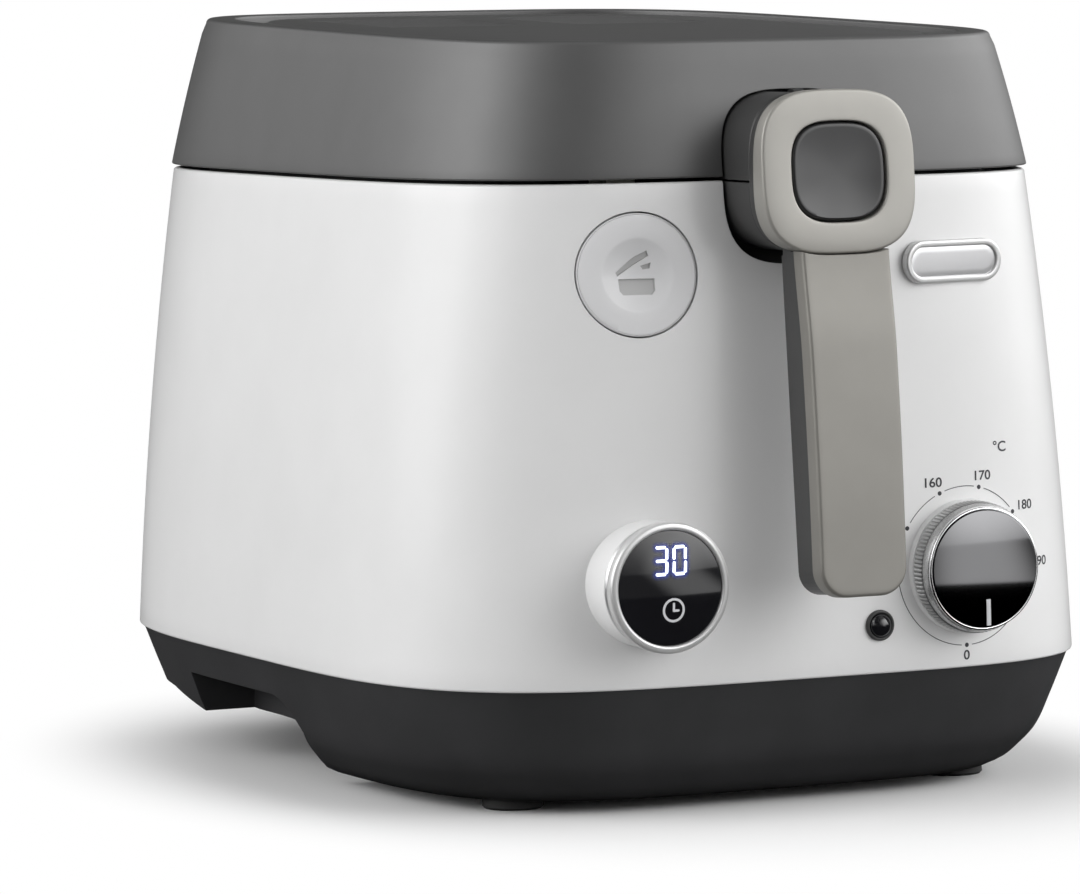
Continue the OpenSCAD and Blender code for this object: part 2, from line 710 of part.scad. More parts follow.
// ---------- lid release ----------
release_y = front_y(-dial_x, release_z);
button_t = 5;
guide_back = button_t + release_travel + 2;
guide_plate = 2;
stem_r = 4;
tip_r = 2;
tip_end = 16.2;
latch_pivot_y = release_y + tip_end + 2.3;
latch_pivot_z = release_z + 19;
latch_pin_r = 2;
latch_half = 6;
latch_t = 1.6;
hook_top_z = seam_z + 5;
ear_in = latch_half + 1;
ear_out = ear_in + 3;

module release_button() {
    color(white) in_row() translate([-dial_x, release_y, release_z]) difference() {
        union() {
            rod_y(release_d / 2, 0, button_t);
            rod_y(stem_r, button_t - 1, guide_back + guide_plate);
            rod_y(tip_r, guide_back, tip_end);
        }
        translate([0, -38.2, 0]) sphere(r = 40, $fn = 180);
        difference() {
            rod_y(release_d / 2 - 4, -1, 0.6);
            rod_y(release_d / 2 - 5, -2, 2);
        }
    }
}

// Guide behind the button, with two ears that hold the latch pin
module button_guide() {
    color(natural) in_row() translate([-dial_x, release_y, release_z]) difference() {
        union() {
            rod_y(guide_r, guide_back - 6, guide_back + guide_plate);
            for (s = [-1, 1]) box_between(
                [s > 0 ? ear_in : -ear_out, guide_back, latch_pivot_z - release_z - 5],
                [s > 0 ? ear_out : -ear_in, latch_pivot_y - release_y + 4, latch_pivot_z - release_z + 5]);
        }
        rod_y(release_d / 2 + slide_gap, -1, guide_back);
        rod_y(stem_r + slide_gap, 0, guide_back + guide_plate + 1);
        translate([0, latch_pivot_y - release_y, latch_pivot_z - release_z])
            rod_x(latch_pin_r + run_fit, -ear_out - 1, ear_out + 1);
        translate([dial_x, -release_y, -release_z]) housing_outside();
    }
}
// Space outside the inner face of the housing round the release button
module housing_outside() {
    difference() {
        box_between([-dial_x - 2 * guide_r, -outside_y, release_z - guide_r - 5],
            [-dial_x + 2 * guide_r, -bowl_b, release_z + guide_r + 5]);
        housing_solid(shell_t + 0.2, base_top_z, seam_z);
    }
}

module button_spring() {
    color(steel) in_row() translate([-dial_x, release_y + button_t + 0.1, release_z]) rotate([-90, 0, 0])
        coil_stack(10.5, 0.9, guide_back - button_t - 0.2, 3);
}

module latch_lever() {
    color(natural) in_row() translate([-dial_x, latch_pivot_y, latch_pivot_z]) difference() {
        union() {
            rod_x(5, -latch_half, latch_half);
            box_between([-latch_half, -latch_t, -24], [latch_half, latch_t, hook_top_z - latch_pivot_z]);
            box_between([-latch_half, -latch_t, hook_top_z - latch_pivot_z - 3],
                [latch_half, 4, hook_top_z - latch_pivot_z]);
        }
        rod_x(latch_pin_r + run_fit, -latch_half - 1, latch_half + 1);
    }
}
module latch_pin() {
    color(steel) in_row() translate([-dial_x, latch_pivot_y, latch_pivot_z])
        rod_x(latch_pin_r, -ear_out, ear_out);
}

// ---------- lid ----------
function lid_share(z) = (z - lid_low_z) / (lid_top_z - lid_low_z);
function lid_a(z) = wall_a(seam_z) + (lid_top_w / 2 - wall_a(seam_z)) * lid_share(z);
function lid_b(z) = wall_b(seam_z) + (lid_top_d / 2 - wall_b(seam_z)) * lid_share(z);
lid_top_shift = -1.7;
lid_power = 4.15;
edge_r = 3;

// Solid of the lid, shrunk by t, with its sloping top lowered by drop
module lid_solid(t, z0, drop) {
    top = lid_top_z - drop;
    mid = z0 + (top - z0) * 0.5;
    loft([[z0, lid_a(lid_low_z) - t, lid_b(lid_low_z) - t, body_mid_shift, 0],
        [mid, lid_a(mid) - t + 0.6, lid_b(mid) - t + 0.6,
            (body_mid_shift + lid_top_shift) / 2, lid_slope / 2],
        [top - edge_r * (t > 0 ? 0.3 : 1), lid_a(top - edge_r) - t, lid_b(top - edge_r) - t,
            lid_top_shift, lid_slope],
        [top, lid_top_w / 2 - t - (t > 0 ? 0 : 1.2), lid_top_d / 2 - t - (t > 0 ? 0 : 1.2),
            lid_top_shift, lid_slope]], lid_power);
}

// Prism whose faces follow the slope of the lid's top, from drop0 to drop1 below the rim
module sloped_plate(a, b, drop0, drop1, power = 4.4) {
    loft([[lid_top_z - drop1, a, b, lid_top_shift, lid_slope],
        [lid_top_z - drop0, a, b, lid_top_shift, lid_slope]], power);
}

recess_a = lid_top_w / 2 - rim_w;
recess_b = lid_top_d / 2 - rim_w;
pad_h = 10;
module lid_shell() {
    color(lid_grey) in_row() difference() {
        union() {
            difference() {
                lid_solid(0, lid_low_z, 0);
                lid_solid(shell_t, lid_low_z - 1, recess_h + shell_t);
            }
            intersection() {
                lid_solid(0.5, lid_low_z, 1);
                difference() {
                    pocket_cut(2);
                    box_between([-2 * pocket_a, -2 * head_face, 0], [2 * pocket_a, 0, lid_low_z]);
                }
            }
            for (s = [-1, 1]) translate([s * hinge_x, hinge_y, hinge_z]) {
                rod_x(hinge_reach, -knuckle_w / 2, knuckle_w / 2);
                box_between([-knuckle_w / 2, -9, 2], [knuckle_w / 2, 0, 11]);
            }
        }
        sloped_plate(recess_a, recess_b, -1, recess_h);
        sloped_plate(recess_a - 26, recess_b - 46, 0, recess_h + shell_t + 4);
        pocket_cut();
        box_between([-9, pocket_back - 4, seam_z], [9, pocket_back + 26, liner_z + 2]);
        for (s = [-1, 1]) translate([s * hinge_x, hinge_y, hinge_z]) {
            rod_x(hinge_pin_r + run_fit, -20, 20);
            for (k = [-1, 1]) box_between(
                [k > 0 ? knuckle_w / 2 : -hinge_half - 1, -7.5, -20],
                [k > 0 ? hinge_half + 1 : -knuckle_w / 2, 12, hinge_reach + 1.5]);
        }
        lid_screw_holes();
    }
}

// Y of the lid's front wall at a distance from the middle and a height
function lid_front_y(x, z) = body_mid_shift * (1 - lid_share(z)) + lid_top_shift * lid_share(z)
    - lid_b(z) * pow(1 - pow(abs(x) / lid_a(z), lid_power), 1 / lid_power);

liner_z = 288;
liner_t = 1.2;
liner_a = bowl_a + 1;
liner_b = bowl_b;
lid_screw_x = liner_a - 32;
lid_screw_y = liner_b - 22;
module lid_screw_holes() {
    for (sx = [-1, 1], sy = [-1, 1]) translate([sx * lid_screw_x, sy * lid_screw_y, 200])
        cylinder(r = 1.7, h = lid_screw_top - 200);
}
lid_screw_top = lid_top_z - recess_h - 6;

// Inner lid of sheet metal, open in the middle for the steam to reach the filter
module lid_liner() {
    color(steel) in_row() difference() {
        union() {
            squircle_prism(liner_a, liner_b, liner_z, liner_t, 4, 0, 56);
            difference() {
                squircle_prism(liner_a, liner_b, lid_low_z + 2, liner_z - lid_low_z - 2, 4, 0, 56);
                squircle_prism(liner_a - liner_t, liner_b - liner_t, lid_low_z, liner_z - lid_low_z,
                    4, 0, 56);
            }
            for (sx = [-1, 1], sy = [-1, 1]) translate([sx * lid_screw_x, sy * lid_screw_y, liner_z])
                cylinder(r = 5, h = boss_top - liner_z);
        }
        for (i = [-6 : 6]) for (s = [-1, 1])
            translate([i * 14, s * 34, liner_z - 1]) cylinder(r = 4, h = 4);
        for (sx = [-1, 1], sy = [-1, 1]) translate([sx * lid_screw_x, sy * lid_screw_y, liner_z - 1])
            cylinder(r = 1.7, h = 40);
        box_between([-pocket_a - 4, -outside_y, lid_low_z - 5], [pocket_a + 4, pocket_back + 5, lid_top_z]);
        box_between([-10, -outside_y, lid_low_z - 5], [10, pocket_back + 16, liner_z + 4]);
    }
}
boss_top = lid_top_z - recess_h - shell_t - lid_slope * (lid_screw_y + 12) - 0.2;

module lid_screws() {
    color(steel) in_row() for (sx = [-1, 1], sy = [-1, 1])
        translate([sx * lid_screw_x, sy * lid_screw_y, liner_z - 2.2]) {
            cylinder(r = 3.2, h = 2.2);
            cylinder(r = 1.5, h = boss_top - liner_z + 2);
        }
}

module lid_gasket() {
    z = seam_z - 2 + 0.3;
    color(rubber) in_row() difference() {
        squircle_prism(liner_a + 9, liner_b + 9, z, 6, 4, 0, 56);
        squircle_prism(liner_a + 0.2, liner_b + 0.2, z - 1, 8, 4, 0, 56);
        box_between([-pocket_a - 4, -outside_y, z - 1], [pocket_a + 4, pocket_back + 6, z + 7]);
        box_between([-dial_x - 14, -outside_y, z - 1], [-dial_x + 14, -collar_inner_b - collar_t, z + 7]);
    }
}

// Catch on the lid's front wall, behind the latch lever's hook
catch_low_z = hook_top_z - 8;
catch_high_z = lid_low_z + 34;
catch_gap = 0.6;
module lid_catch() {
    y = latch_pivot_y + 4 + catch_gap;
    wall_y = lid_front_y(dial_x + 10, catch_high_z) + shell_t + 0.4;
    color(natural) in_row() {
        box_between([-dial_x - 10, y, catch_low_z], [-dial_x + 10, y + 2.5, catch_high_z]);
        for (s = [-1, 1]) box_between([-dial_x + s * 9 - 1, wall_y, catch_high_z - 14],
            [-dial_x + s * 9 + 1, y + 1, catch_high_z]);
    }
}

// Filter cassette hanging below the recess floor
filter_a = recess_a - 34;
filter_b = recess_b - 54;
module filter_pad() {
    color(black) in_row()
        sloped_plate(filter_a, filter_b, cover_top + cover_skin + 0.3, recess_h - 2 + pad_h);
}

cover_a = recess_a - cover_gap;
cover_b = recess_b - cover_gap;
cover_top = 1.5;
cover_skin = 2.5;
module filter_cover() {
    tab_half = 21;
    color(lid_grey) in_row() difference() {
        union() {
            sloped_plate(cover_a, cover_b, cover_top + 3, recess_h - 0.3);
            sloped_plate(cover_a - 5, cover_b - 5, cover_top + 1.5, recess_h - 1);
            sloped_plate(cover_a - 10, cover_b - 10, cover_top, recess_h - 1);
        }
        sloped_plate(cover_a - 13, cover_b - 13, cover_top + cover_skin, recess_h + 2);
        for (i = [0 : 8]) for (s = [-1, 1])
            box_between([s * 45 - 34, 34 + i * 11, liner_z],
                [s * 45 + 34, 38 + i * 11, lid_top_z + 20]);
        translate([0, cover_b + lid_top_shift + 4, liner_z]) cylinder(r = tab_half, h = lid_top_z - liner_z + 20);
    }
}

// ---------- hinge ----------
module hinge_bracket() {
    color(charcoal) in_row() for (s = [-1, 1]) difference() {
        union() {
            for (k = [-1, 1]) {
                x0 = s * hinge_x + (k > 0 ? knuckle_w / 2 + knuckle_gap : -hinge_half);
                translate([0, hinge_y, hinge_z]) rod_x(hinge_reach, x0, x0 + side_knuckle_w);
                box_between([x0, hinge_y - 11, hinge_z - 16],
                    [x0 + side_knuckle_w, hinge_y - 4, hinge_z]);
                box_between([x0, hinge_y - 5, hinge_z - hinge_reach],
                    [x0 + side_knuckle_w, hinge_y, hinge_z - 1]);
            }
            box_between([s * hinge_x - hinge_half, hinge_y - 11, hinge_z - 30],
                [s * hinge_x + hinge_half, hinge_y - 7, hinge_z - 8]);
        }
        translate([s * hinge_x, hinge_y, hinge_z]) rod_x(hinge_pin_r + run_fit, -40, 40);
        difference() {
            box_between([s * hinge_x - 2 * hinge_half, 0, hinge_z - 60],
                [s * hinge_x + 2 * hinge_half, outside_y, hinge_z - hinge_reach - 0.8]);
            housing_solid(shell_t + 0.2, base_top_z, seam_z);
        }
    }
}

module hinge_pin() {
    color(steel) in_row() for (s = [-1, 1]) translate([s * hinge_x, hinge_y, hinge_z])
        rod_x(hinge_pin_r, -hinge_half, hinge_half);
}

// ---------- handle ----------
hub_front_y = -head_face + head_t + 0.5;
hub_a = 33.5;
hub_b = 33;
hub_z = head_z - 0.3;
pivot_y = hub_front_y + 7.5;
pivot_z = hub_z + hub_b - 7.5;
hub_round = 7.5;
hub_back_y = pocket_back - 1;
tongue_half = 10;
cheek_t = 4;
bay_half = tongue_half + 1.2;
hub_wall = 2.5;
cam_half = 2.5;
lift_slot_half = 8;

module hub_block() {
    difference() {
        extrude_y(hub_front_y, hub_back_y)
            translate([0, hub_z]) polygon(squircle(hub_a, hub_b, 3, 0, 48));
        difference() {
            box_between([-2 * hub_a, hub_front_y - 1, pivot_z], [2 * hub_a, pivot_y, pivot_z + 30]);
            translate([0, pivot_y, pivot_z]) rod_x(hub_round, -2 * hub_a - 1, 2 * hub_a + 1);
        }
        box_between([-bay_half, hub_front_y - 1, hub_z - hub_b + hub_wall],
            [bay_half, hub_back_y - hub_wall, pivot_z + 30]);
        box_between([-lift_slot_half - 1, hub_back_y - 10, lift_low_z - 7],
            [lift_slot_half + 1, hub_back_y + 1, lift_low_z + lift_travel + 7]);
        for (s = [-1, 1]) box_between(
            [s > 0 ? bay_half + cheek_t : -hub_a + hub_wall + 2, hub_front_y + hub_wall, hub_z - 22],
            [s > 0 ? hub_a - hub_wall - 2 : -bay_half - cheek_t, hub_back_y + 1, hub_z + 22]);
        translate([0, pivot_y, pivot_z]) rod_x(handle_pin_r + run_fit, -bay_half - cheek_t - 1,
            bay_half + cheek_t + 1);
        for (s = [-1, 1]) translate([s * 22, hub_back_y - 8, 0]) cylinder(r = 1.7, h = 2 * seam_z);
    }
}
split_gap = 0.15;
module hub_lower() {
    color(charcoal) in_row() {
        intersection() {
            hub_block();
            box_between([-2 * hub_a, -2 * head_face, 0], [2 * hub_a, 0, seam_z - split_gap]);
        }
        difference() {
            box_between([-30, pocket_back - 1, bowl_rim_z], [30, pocket_back + 1, seam_z - 6]);
            box_between([-lift_slot_half - 1, pocket_back - 9, lift_low_z - 7],
                [lift_slot_half + 1, pocket_back + 9, seam_z]);
        }
    }
}
module hub_upper() {
    color(charcoal) in_row() intersection() {
        hub_block();
        box_between([-2 * hub_a, -2 * head_face, seam_z + split_gap], [2 * hub_a, 0, 2 * seam_z]);
    }
}
module hub_screws() {
    color(steel) in_row() for (s = [-1, 1]) translate([s * 22, hub_back_y - 8, 0]) {
        translate([0, 0, hub_z - 24]) cylinder(r = 1.5, h = 48);
        translate([0, 0, hub_z - 22]) cylinder(r = 3, h = 2);
    }
}
module handle_pin() {
    color(steel) in_row() translate([0, pivot_y, pivot_z])
        rod_x(handle_pin_r, -bay_half - cheek_t, bay_half + cheek_t);
}

// The lift pin rises straight up while the handle turns; this is its path on the handle's cam
lift_pin_y = 3;
lift_low = -50;
lift_low_z = pivot_z + lift_low;
function cam_point(angle) = let (y = lift_pin_y, z = lift_low + lift_travel * angle / handle_open)
    [y * cos(angle) - z * sin(angle), y * sin(angle) + z * cos(angle)];
cam_step = handle_open / 15;
function cam_normal(angle) = let (d = cam_point(angle + 1) - cam_point(angle - 1), l = norm(d))
    [-d[1] / l, d[0] / l];
function cam_edge(w, from, to, step) = [for (a = [from : step : to]) cam_point(a) + w * cam_normal(a)];

// Round end of the track, w away from its middle line
function cam_tip(angle, w) = let (n = cam_normal(angle), along = [n[1], -n[0]])
    [for (f = [20 : 20 : 160]) cam_point(angle) + w * (n * cos(f) + along * sin(f))];

module cam_track(w) {
    polygon(concat(cam_edge(w, 0, handle_open, cam_step), cam_tip(handle_open, w),
        cam_edge(-w, handle_open, 0, -cam_step), cam_tip(0, -w)));
}

// Cam plate that turns with the handle and raises the lift pin
module handle_cam() {
    slot_w = lift_pin_r + 0.35;
    translate([-cam_half, pivot_y, pivot_z]) rotate([90, 0, 90]) linear_extrude(2 * cam_half)
        difference() {
            union() {
                cam_track(slot_w + 2.8);
                circle(5.4);
                polygon([[-5, 0], cam_point(handle_open), cam_point(handle_open * 0.6), [2, -40],
                    cam_point(0), [-6, -45]]);
            }
            cam_track(slot_w);
        }
}

arm_lean = atan((arm_reach - head_face - 6.5) / (head_z - head_b - arm_low_z));
arm_len = (head_z - head_b - arm_low_z) / cos(arm_lean) + 20;
arm_face_y = -arm_reach;
arm_corner = 10;
cover_depth = 8;

// Outline of the arm: wider at its top, rounded at its lower end
module arm_outline(grow) {
    low = arm_low_w / 2 + grow;
    high = arm_top_w / 2 + grow;
    r = arm_corner;
    polygon(concat(
        [[high, arm_len], [-high, arm_len]],
        [for (t = [180 : 10 : 270]) [-low + r + r * cos(t), r - grow + r * sin(t)]],
        [for (t = [270 : 10 : 360]) [low - r + r * cos(t), r - grow + r * sin(t)]]));
}

// Part of the leaning arm between two depths behind its face
module arm_slab(d0, d1, grow) {
    translate([0, arm_face_y, arm_low_z]) rotate([-arm_lean, 0, 0]) extrude_y(d0, d1) arm_outline(grow);
}
module head_slab(y0, y1, grow, inner = 0) {
    extrude_y(y0, y1) translate([0, head_z]) difference() {
        polygon(squircle(head_a + grow, head_b + grow, 3.2, 0, 64));
        if (inner > 0) polygon(squircle(button_a + inner, button_b + inner, 3, 0, 48));
    }
}

// Leans its children like the head's face: the top goes back, the bottom comes forward
module leaning() {
    multmatrix([[1, 0, 0, 0], [0, 1, head_slope, -head_slope * head_z], [0, 0, 1, 0], [0, 0, 0, 1]])
        children();
}
button_a = 21.3;
button_b = 20;
head_split_y = -head_face + 8;

module handle_ring() {
    color(champagne) in_row() {
        intersection() {
            head_slab(-2 * head_face, head_split_y, 0, slide_gap);
            leaning() head_slab(-head_face + 2, 0, 1);
        }
        intersection() {
            head_slab(-2 * head_face, head_split_y, -1.6, slide_gap + 0.8);
            leaning() head_slab(-head_face, -head_face + 2 + eps, 1);
        }
    }
}

module handle_arm() {
    color(champagne) in_row() difference() {
        union() {
            arm_slab(1.5, cover_depth, 0);
            arm_slab(0, 1.5 + eps, -1.5);
        }
        head_slab(-2 * head_face, 0, 0.4);
        box_between([-2 * head_a, -2 * head_face, head_z], [2 * head_a, 0, 2 * head_z]);
    }
}

module handle_frame() {
    recess_floor = -head_face + head_t - 2;
    color(charcoal) in_row() difference() {
        union() {
            head_slab(head_split_y, -head_face + head_t, -1.2);
            difference() {
                arm_slab(cover_depth, arm_t, -1.2);
                box_between([-2 * head_a, -2 * head_face, head_z - 10], [2 * head_a, 0, 2 * head_z]);
                box_between([-2 * head_a, hub_front_y - 0.5, hub_z - hub_b - 1], [2 * head_a, 0, 2 * head_z]);
                head_slab(-2 * head_face, head_split_y, 0.3);
            }
            box_between([-tongue_half, recess_floor, pivot_z - 6.2], [tongue_half, pivot_y, pivot_z + 6.2]);
            translate([0, pivot_y, pivot_z]) rod_x(7, -tongue_half, tongue_half);
            handle_cam();
        }
        extrude_y(-head_face, recess_floor) translate([0, head_z])
            polygon(squircle(button_a + slide_gap, button_b + slide_gap, 3, 0, 48));
        translate([0, pivot_y, pivot_z]) rod_x(handle_pin_r + run_fit, -20, 20);
    }
}

module handle_button() {
    color(black) in_row() intersection() {
        translate([0, 0, head_z]) extrude_y(-head_face - 4, -head_face + 7)
            polygon(squircle(button_a, button_b, 3, 0, 48));
        leaning() translate([0, 0, head_z]) difference() {
            extrude_y(-head_face + 1, -head_face + 12) square(3 * button_a, center = true);
            translate([0, -head_face - 147.6, 0]) sphere(r = 150, $fn = 360);
        }
    }
}
module handle_spring() {
    gap = 0.15;
    color(steel) in_row() translate([0, 0, head_z]) rotate([-90, 0, 0])
        translate([0, 0, -head_face + 7 + gap]) coil_stack(7, 0.8, head_t - 9 - 2 * gap, 2);
}

// ---------- basket ----------
basket_a = bowl_a - bowl_taper - basket_gap;
basket_b = bowl_b - bowl_taper - basket_gap;
basket_t = 1.6;
carriage_h = 5;

// Forked bar that follows the handle's cam and carries the basket
module lift_carriage() {
    y_pin = pivot_y + lift_pin_y;
    color(steel) in_row() difference() {
        union() {
            box_between([-lift_slot_half + 1, y_pin - 5, lift_low_z - carriage_h],
                [lift_slot_half - 1, -basket_b - 1, lift_low_z + carriage_h]);
            box_between([-14, -basket_b - 3, lift_low_z - carriage_h - 8],
                [14, -basket_b - 1, lift_low_z + carriage_h]);
        }
        difference() {
            box_between([-cam_half - slide_gap, y_pin - 10, lift_low_z - 10],
                [cam_half + slide_gap, pocket_back - 3, lift_low_z + 10]);
            translate([0, y_pin, lift_low_z]) rod_x(lift_pin_r, -10, 10);
        }
    }
}

module basket_rim() {
    band = 4;
    color(chrome) in_row() difference() {
        squircle_prism(basket_a + 1.5, basket_b + 1.5 - 0.8, basket_rim_z - band, band, 4, 0, 48);
        squircle_prism(basket_a - basket_t - 1, basket_b - basket_t - 1, basket_rim_z - 10, 20, 4, 0, 48);
        squircle_prism(basket_a + 0.2, basket_b + 0.2, basket_rim_z - band - 1, band - 0.5, 4, 0, 48);
    }
}

// Mesh tub with real openings in its walls and floor
module basket_mesh() {
    z0 = basket_rim_z - basket_h;
    rows = 4;
    row_h = (basket_h - 16) / rows;
    color(chrome) in_row() difference() {
        squircle_prism(basket_a, basket_b, z0, basket_h - 2, 4, 0, 48);
        squircle_prism(basket_a - basket_t, basket_b - basket_t, z0 + basket_t, basket_h, 4, 0, 48);
        for (r = [0 : rows - 1]) {
            z = z0 + 8 + r * row_h;
            for (i = [-5 : 5]) {
                box_between([-2 * basket_a, i * 22 - 8, z], [2 * basket_a, i * 22 + 8, z + row_h - 3]);
                if (abs(i) < 4) box_between([i * 22 - 8, -2 * basket_b, z],
                    [i * 22 + 8, 2 * basket_b, z + row_h - 3]);
            }
        }
        for (i = [-5 : 5]) box_between([-78, i * 22 - 8, z0 - 1], [78, i * 22 + 8, z0 + 3]);
    }
}

base_shell();
foot_front_left();
foot_front_right();
foot_rear_left();
foot_rear_right();
base_screws();
body_shell();
rim_collar();
bowl();
bowl_brackets();
heating_element();
heat_shield();
thermal_cutout();
terminal_block();
cord_gland();
thermostat_body();
thermostat_shaft();
sensor_bulb();
thermostat_knob();
knob_ring();
knob_cap();
lamp_bezel();
pilot_lamp();
timer_bezel();
timer_ring();
timer_face();
timer_module();
timer_spring();
badge_plate();
button_guide();
release_button();
button_spring();
latch_lever();
latch_pin();
lid_shell();
lid_liner();
lid_gasket();
lid_catch();
lid_screws();
filter_pad();
filter_cover();
hinge_bracket();
hinge_pin();
hub_lower();
hub_upper();
hub_screws();
handle_pin();
handle_frame();
handle_ring();
handle_arm();
handle_button();
handle_spring();
lift_carriage();
basket_rim();
basket_mesh();
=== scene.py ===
"""Deep fryer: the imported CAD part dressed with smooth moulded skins, trims, prints and studio light.

Sizes are in millimetres, measured from the housing's middle as in the part's source, and p() turns
them into the row's frame in metres.
"""
from math import atan, atan2, copysign, cos, hypot, pi, radians, sin, sqrt

import bmesh
import bpy
from mathutils import Matrix, Vector


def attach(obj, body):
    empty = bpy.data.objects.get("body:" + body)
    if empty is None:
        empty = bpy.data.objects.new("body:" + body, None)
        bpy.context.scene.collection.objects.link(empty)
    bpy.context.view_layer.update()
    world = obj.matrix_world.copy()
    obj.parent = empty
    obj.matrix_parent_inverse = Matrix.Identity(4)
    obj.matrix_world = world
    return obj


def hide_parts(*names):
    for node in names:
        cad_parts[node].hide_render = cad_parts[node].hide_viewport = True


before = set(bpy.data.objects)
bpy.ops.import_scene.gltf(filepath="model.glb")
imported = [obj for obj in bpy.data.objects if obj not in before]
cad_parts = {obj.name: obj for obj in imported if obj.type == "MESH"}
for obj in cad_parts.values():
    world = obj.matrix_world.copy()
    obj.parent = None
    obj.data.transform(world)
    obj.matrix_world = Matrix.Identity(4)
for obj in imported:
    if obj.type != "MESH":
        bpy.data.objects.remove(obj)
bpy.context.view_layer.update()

MM = 0.001
# The housing's middle is this far behind the row's origin
ROW_SHIFT = 23.5

# ---------- sizes that the solids share ----------
BASE_TOP, SEAM = 54.5, 262.0
BODY_LOW_A, BODY_LOW_B = 170.0, 209.9
BODY_TOP_A, BODY_TOP_B = 148.7, 203.7
BOW, BODY_SHIFT, BODY_POWER = 2.0, 0.7, 4.0
SHELL = 3.0
FOOT_H = 5.0
LID_LOW, LID_TOP, LID_SLOPE = 263.5, 325.3, 0.0291
LID_TOP_A, LID_TOP_B, LID_TOP_SHIFT, LID_POWER = 134.1, 190.75, -1.7, 4.15
RIM_W, RECESS_H = 12.0, 9.0
DIAL_X, DIAL_Z = 73.7, 98.0
KNOB_X, KNOB_Z = 75.0, 97.4
HEAD_A, HEAD_B, HEAD_Z, HEAD_FACE, HEAD_T, HEAD_SLOPE = 35.2, 33.5, 265.7, 240.0, 15.0, 0.09
ARM_TOP_W, ARM_LOW_W, ARM_LOW_Z, ARM_REACH = 40.5, 39.6, 93.0, 258.5
HEAD_POWER = 3.2
BUTTON_A, BUTTON_B, BUTTON_POWER = 21.3, 20.0, 3.0
RELEASE_Z, RELEASE_D = 224.5, 50.7
LAMP_X, LAMP_Z, LAMP_D = 32.3, 74.9, 13.0
BADGE_X, BADGE_W, BADGE_H = 72.0, 50.5, 18.0
TIMER_D, TIMER_H = 53.0, 22.0
KNOB_D, KNOB_H = 56.0, 18.0
POCKET_A, POCKET_B, POCKET_Z, POCKET_BACK, POCKET_POWER = 34.8, 36.0, 263.0, -176.0, 3.2
SIDES = 256


def p(x, y, z):
    """A point in the row's frame, in metres."""
    return Vector((x, y + ROW_SHIFT, z)) * MM


# ---------- outlines ----------
def rise(z):
    return (z - BASE_TOP) / (SEAM - BASE_TOP)


def bow(z):
    return BOW * 4 * rise(z) * (1 - rise(z))


def wall_a(z):
    return BODY_LOW_A + (BODY_TOP_A - BODY_LOW_A) * rise(z) + bow(z)


def wall_b(z):
    return BODY_LOW_B + (BODY_TOP_B - BODY_LOW_B) * rise(z) + bow(z)


def front_y(x, z):
    """Y of the housing's front wall."""
    share = (1 - (abs(x) / wall_a(z)) ** BODY_POWER) ** (1 / BODY_POWER)
    return BODY_SHIFT * rise(z) - wall_b(z) * share


def lid_share(z):
    return (z - LID_LOW) / (LID_TOP - LID_LOW)


def lid_a(z):
    return BODY_TOP_A + (LID_TOP_A - BODY_TOP_A) * lid_share(z)


def lid_b(z):
    return BODY_TOP_B + (LID_TOP_B - BODY_TOP_B) * lid_share(z)


def signed_power(value, power):
    return copysign(abs(value) ** power, value)


def turns(count, offset=0.0):
    """Angles of even steps round a full turn."""
    return [2 * pi * (i + offset) / count for i in range(count)]


def quarter(steps):
    """Angles of even steps through a quarter turn, with both ends."""
    return [pi / 2 * i / steps for i in range(steps + 1)]


def round_spots(cx, cz, r, count):
    return [(cx + r * cos(t), cz + r * sin(t)) for t in turns(count)]


def oval(a, b, power, count=SIDES):
    """Points of a superellipse, counter-clockwise, with even steps of its angle."""
    return [(a * signed_power(cos(t), 2 / power), b * signed_power(sin(t), 2 / power))
            for t in turns(count, 0.5)]


def level(z, a, b, power=BODY_POWER, cy=0.0, slope=0.0, count=SIDES):
    """A horizontal ring; with a slope it rises towards the rear."""
    return [p(x, cy + y, z + slope * (cy + y)) for x, y in oval(a, b, power, count)]


def upright(y, a, b, power, cz, count=SIDES):
    """A ring that faces the front."""
    return [p(x, y, cz + z) for x, z in oval(a, b, power, count)]


def circle(y, r, cx, cz, count=128):
    """A round ring that faces the front."""
    return [p(x, y, z) for x, z in round_spots(cx, cz, r, count)]


def fillet(r, steps=5):
    """Pairs of (inset, drop) round a quarter turn, from the flat face to the wall."""
    return [(r * (1 - sin(t)), r * (1 - cos(t))) for t in quarter(steps)]


def sphere_under(r, crown):
    """Radius of the sphere whose cap of radius r rises by crown."""
    return (r ** 2 + crown ** 2) / (2 * crown)


def place_object(name, data):
    obj = bpy.data.objects.new(name, data)
    bpy.context.scene.collection.objects.link(obj)
    return obj


# ---------- mesh helpers ----------
def finish_mesh(name, bm, material, angle=35):
    bmesh.ops.recalc_face_normals(bm, faces=bm.faces)
    mesh = bpy.data.meshes.new(name)
    bm.to_mesh(mesh)
    bm.free()
    obj = place_object(name, mesh)
    mesh.materials.append(material)
    mesh.shade_smooth()
    mesh.set_sharp_from_angle(angle=radians(angle))
    return obj


def add_loft(bm, rings, closed=False, caps=(True, True)):
    """Quads through rings of the same count; closed joins the last ring to the first."""
    loops = [[bm.verts.new(v) for v in ring] for ring in rings]
    count = len(loops[0])
    pairs = list(zip(loops, loops[1:])) + ([(loops[-1], loops[0])] if closed else [])
    for low, high in pairs:
        for i in range(count):
            j = (i + 1) % count
            bm.faces.new((low[i], low[j], high[j], high[i]))
    if not closed:
        if caps[0]:
            bm.faces.new(list(reversed(loops[0])))
        if caps[1]:
            bm.faces.new(loops[-1])


def loft(name, rings, material, closed=False, caps=(True, True), angle=35):
    bm = bmesh.new()
    add_loft(bm, rings, closed, caps)
    return finish_mesh(name, bm, material, angle)


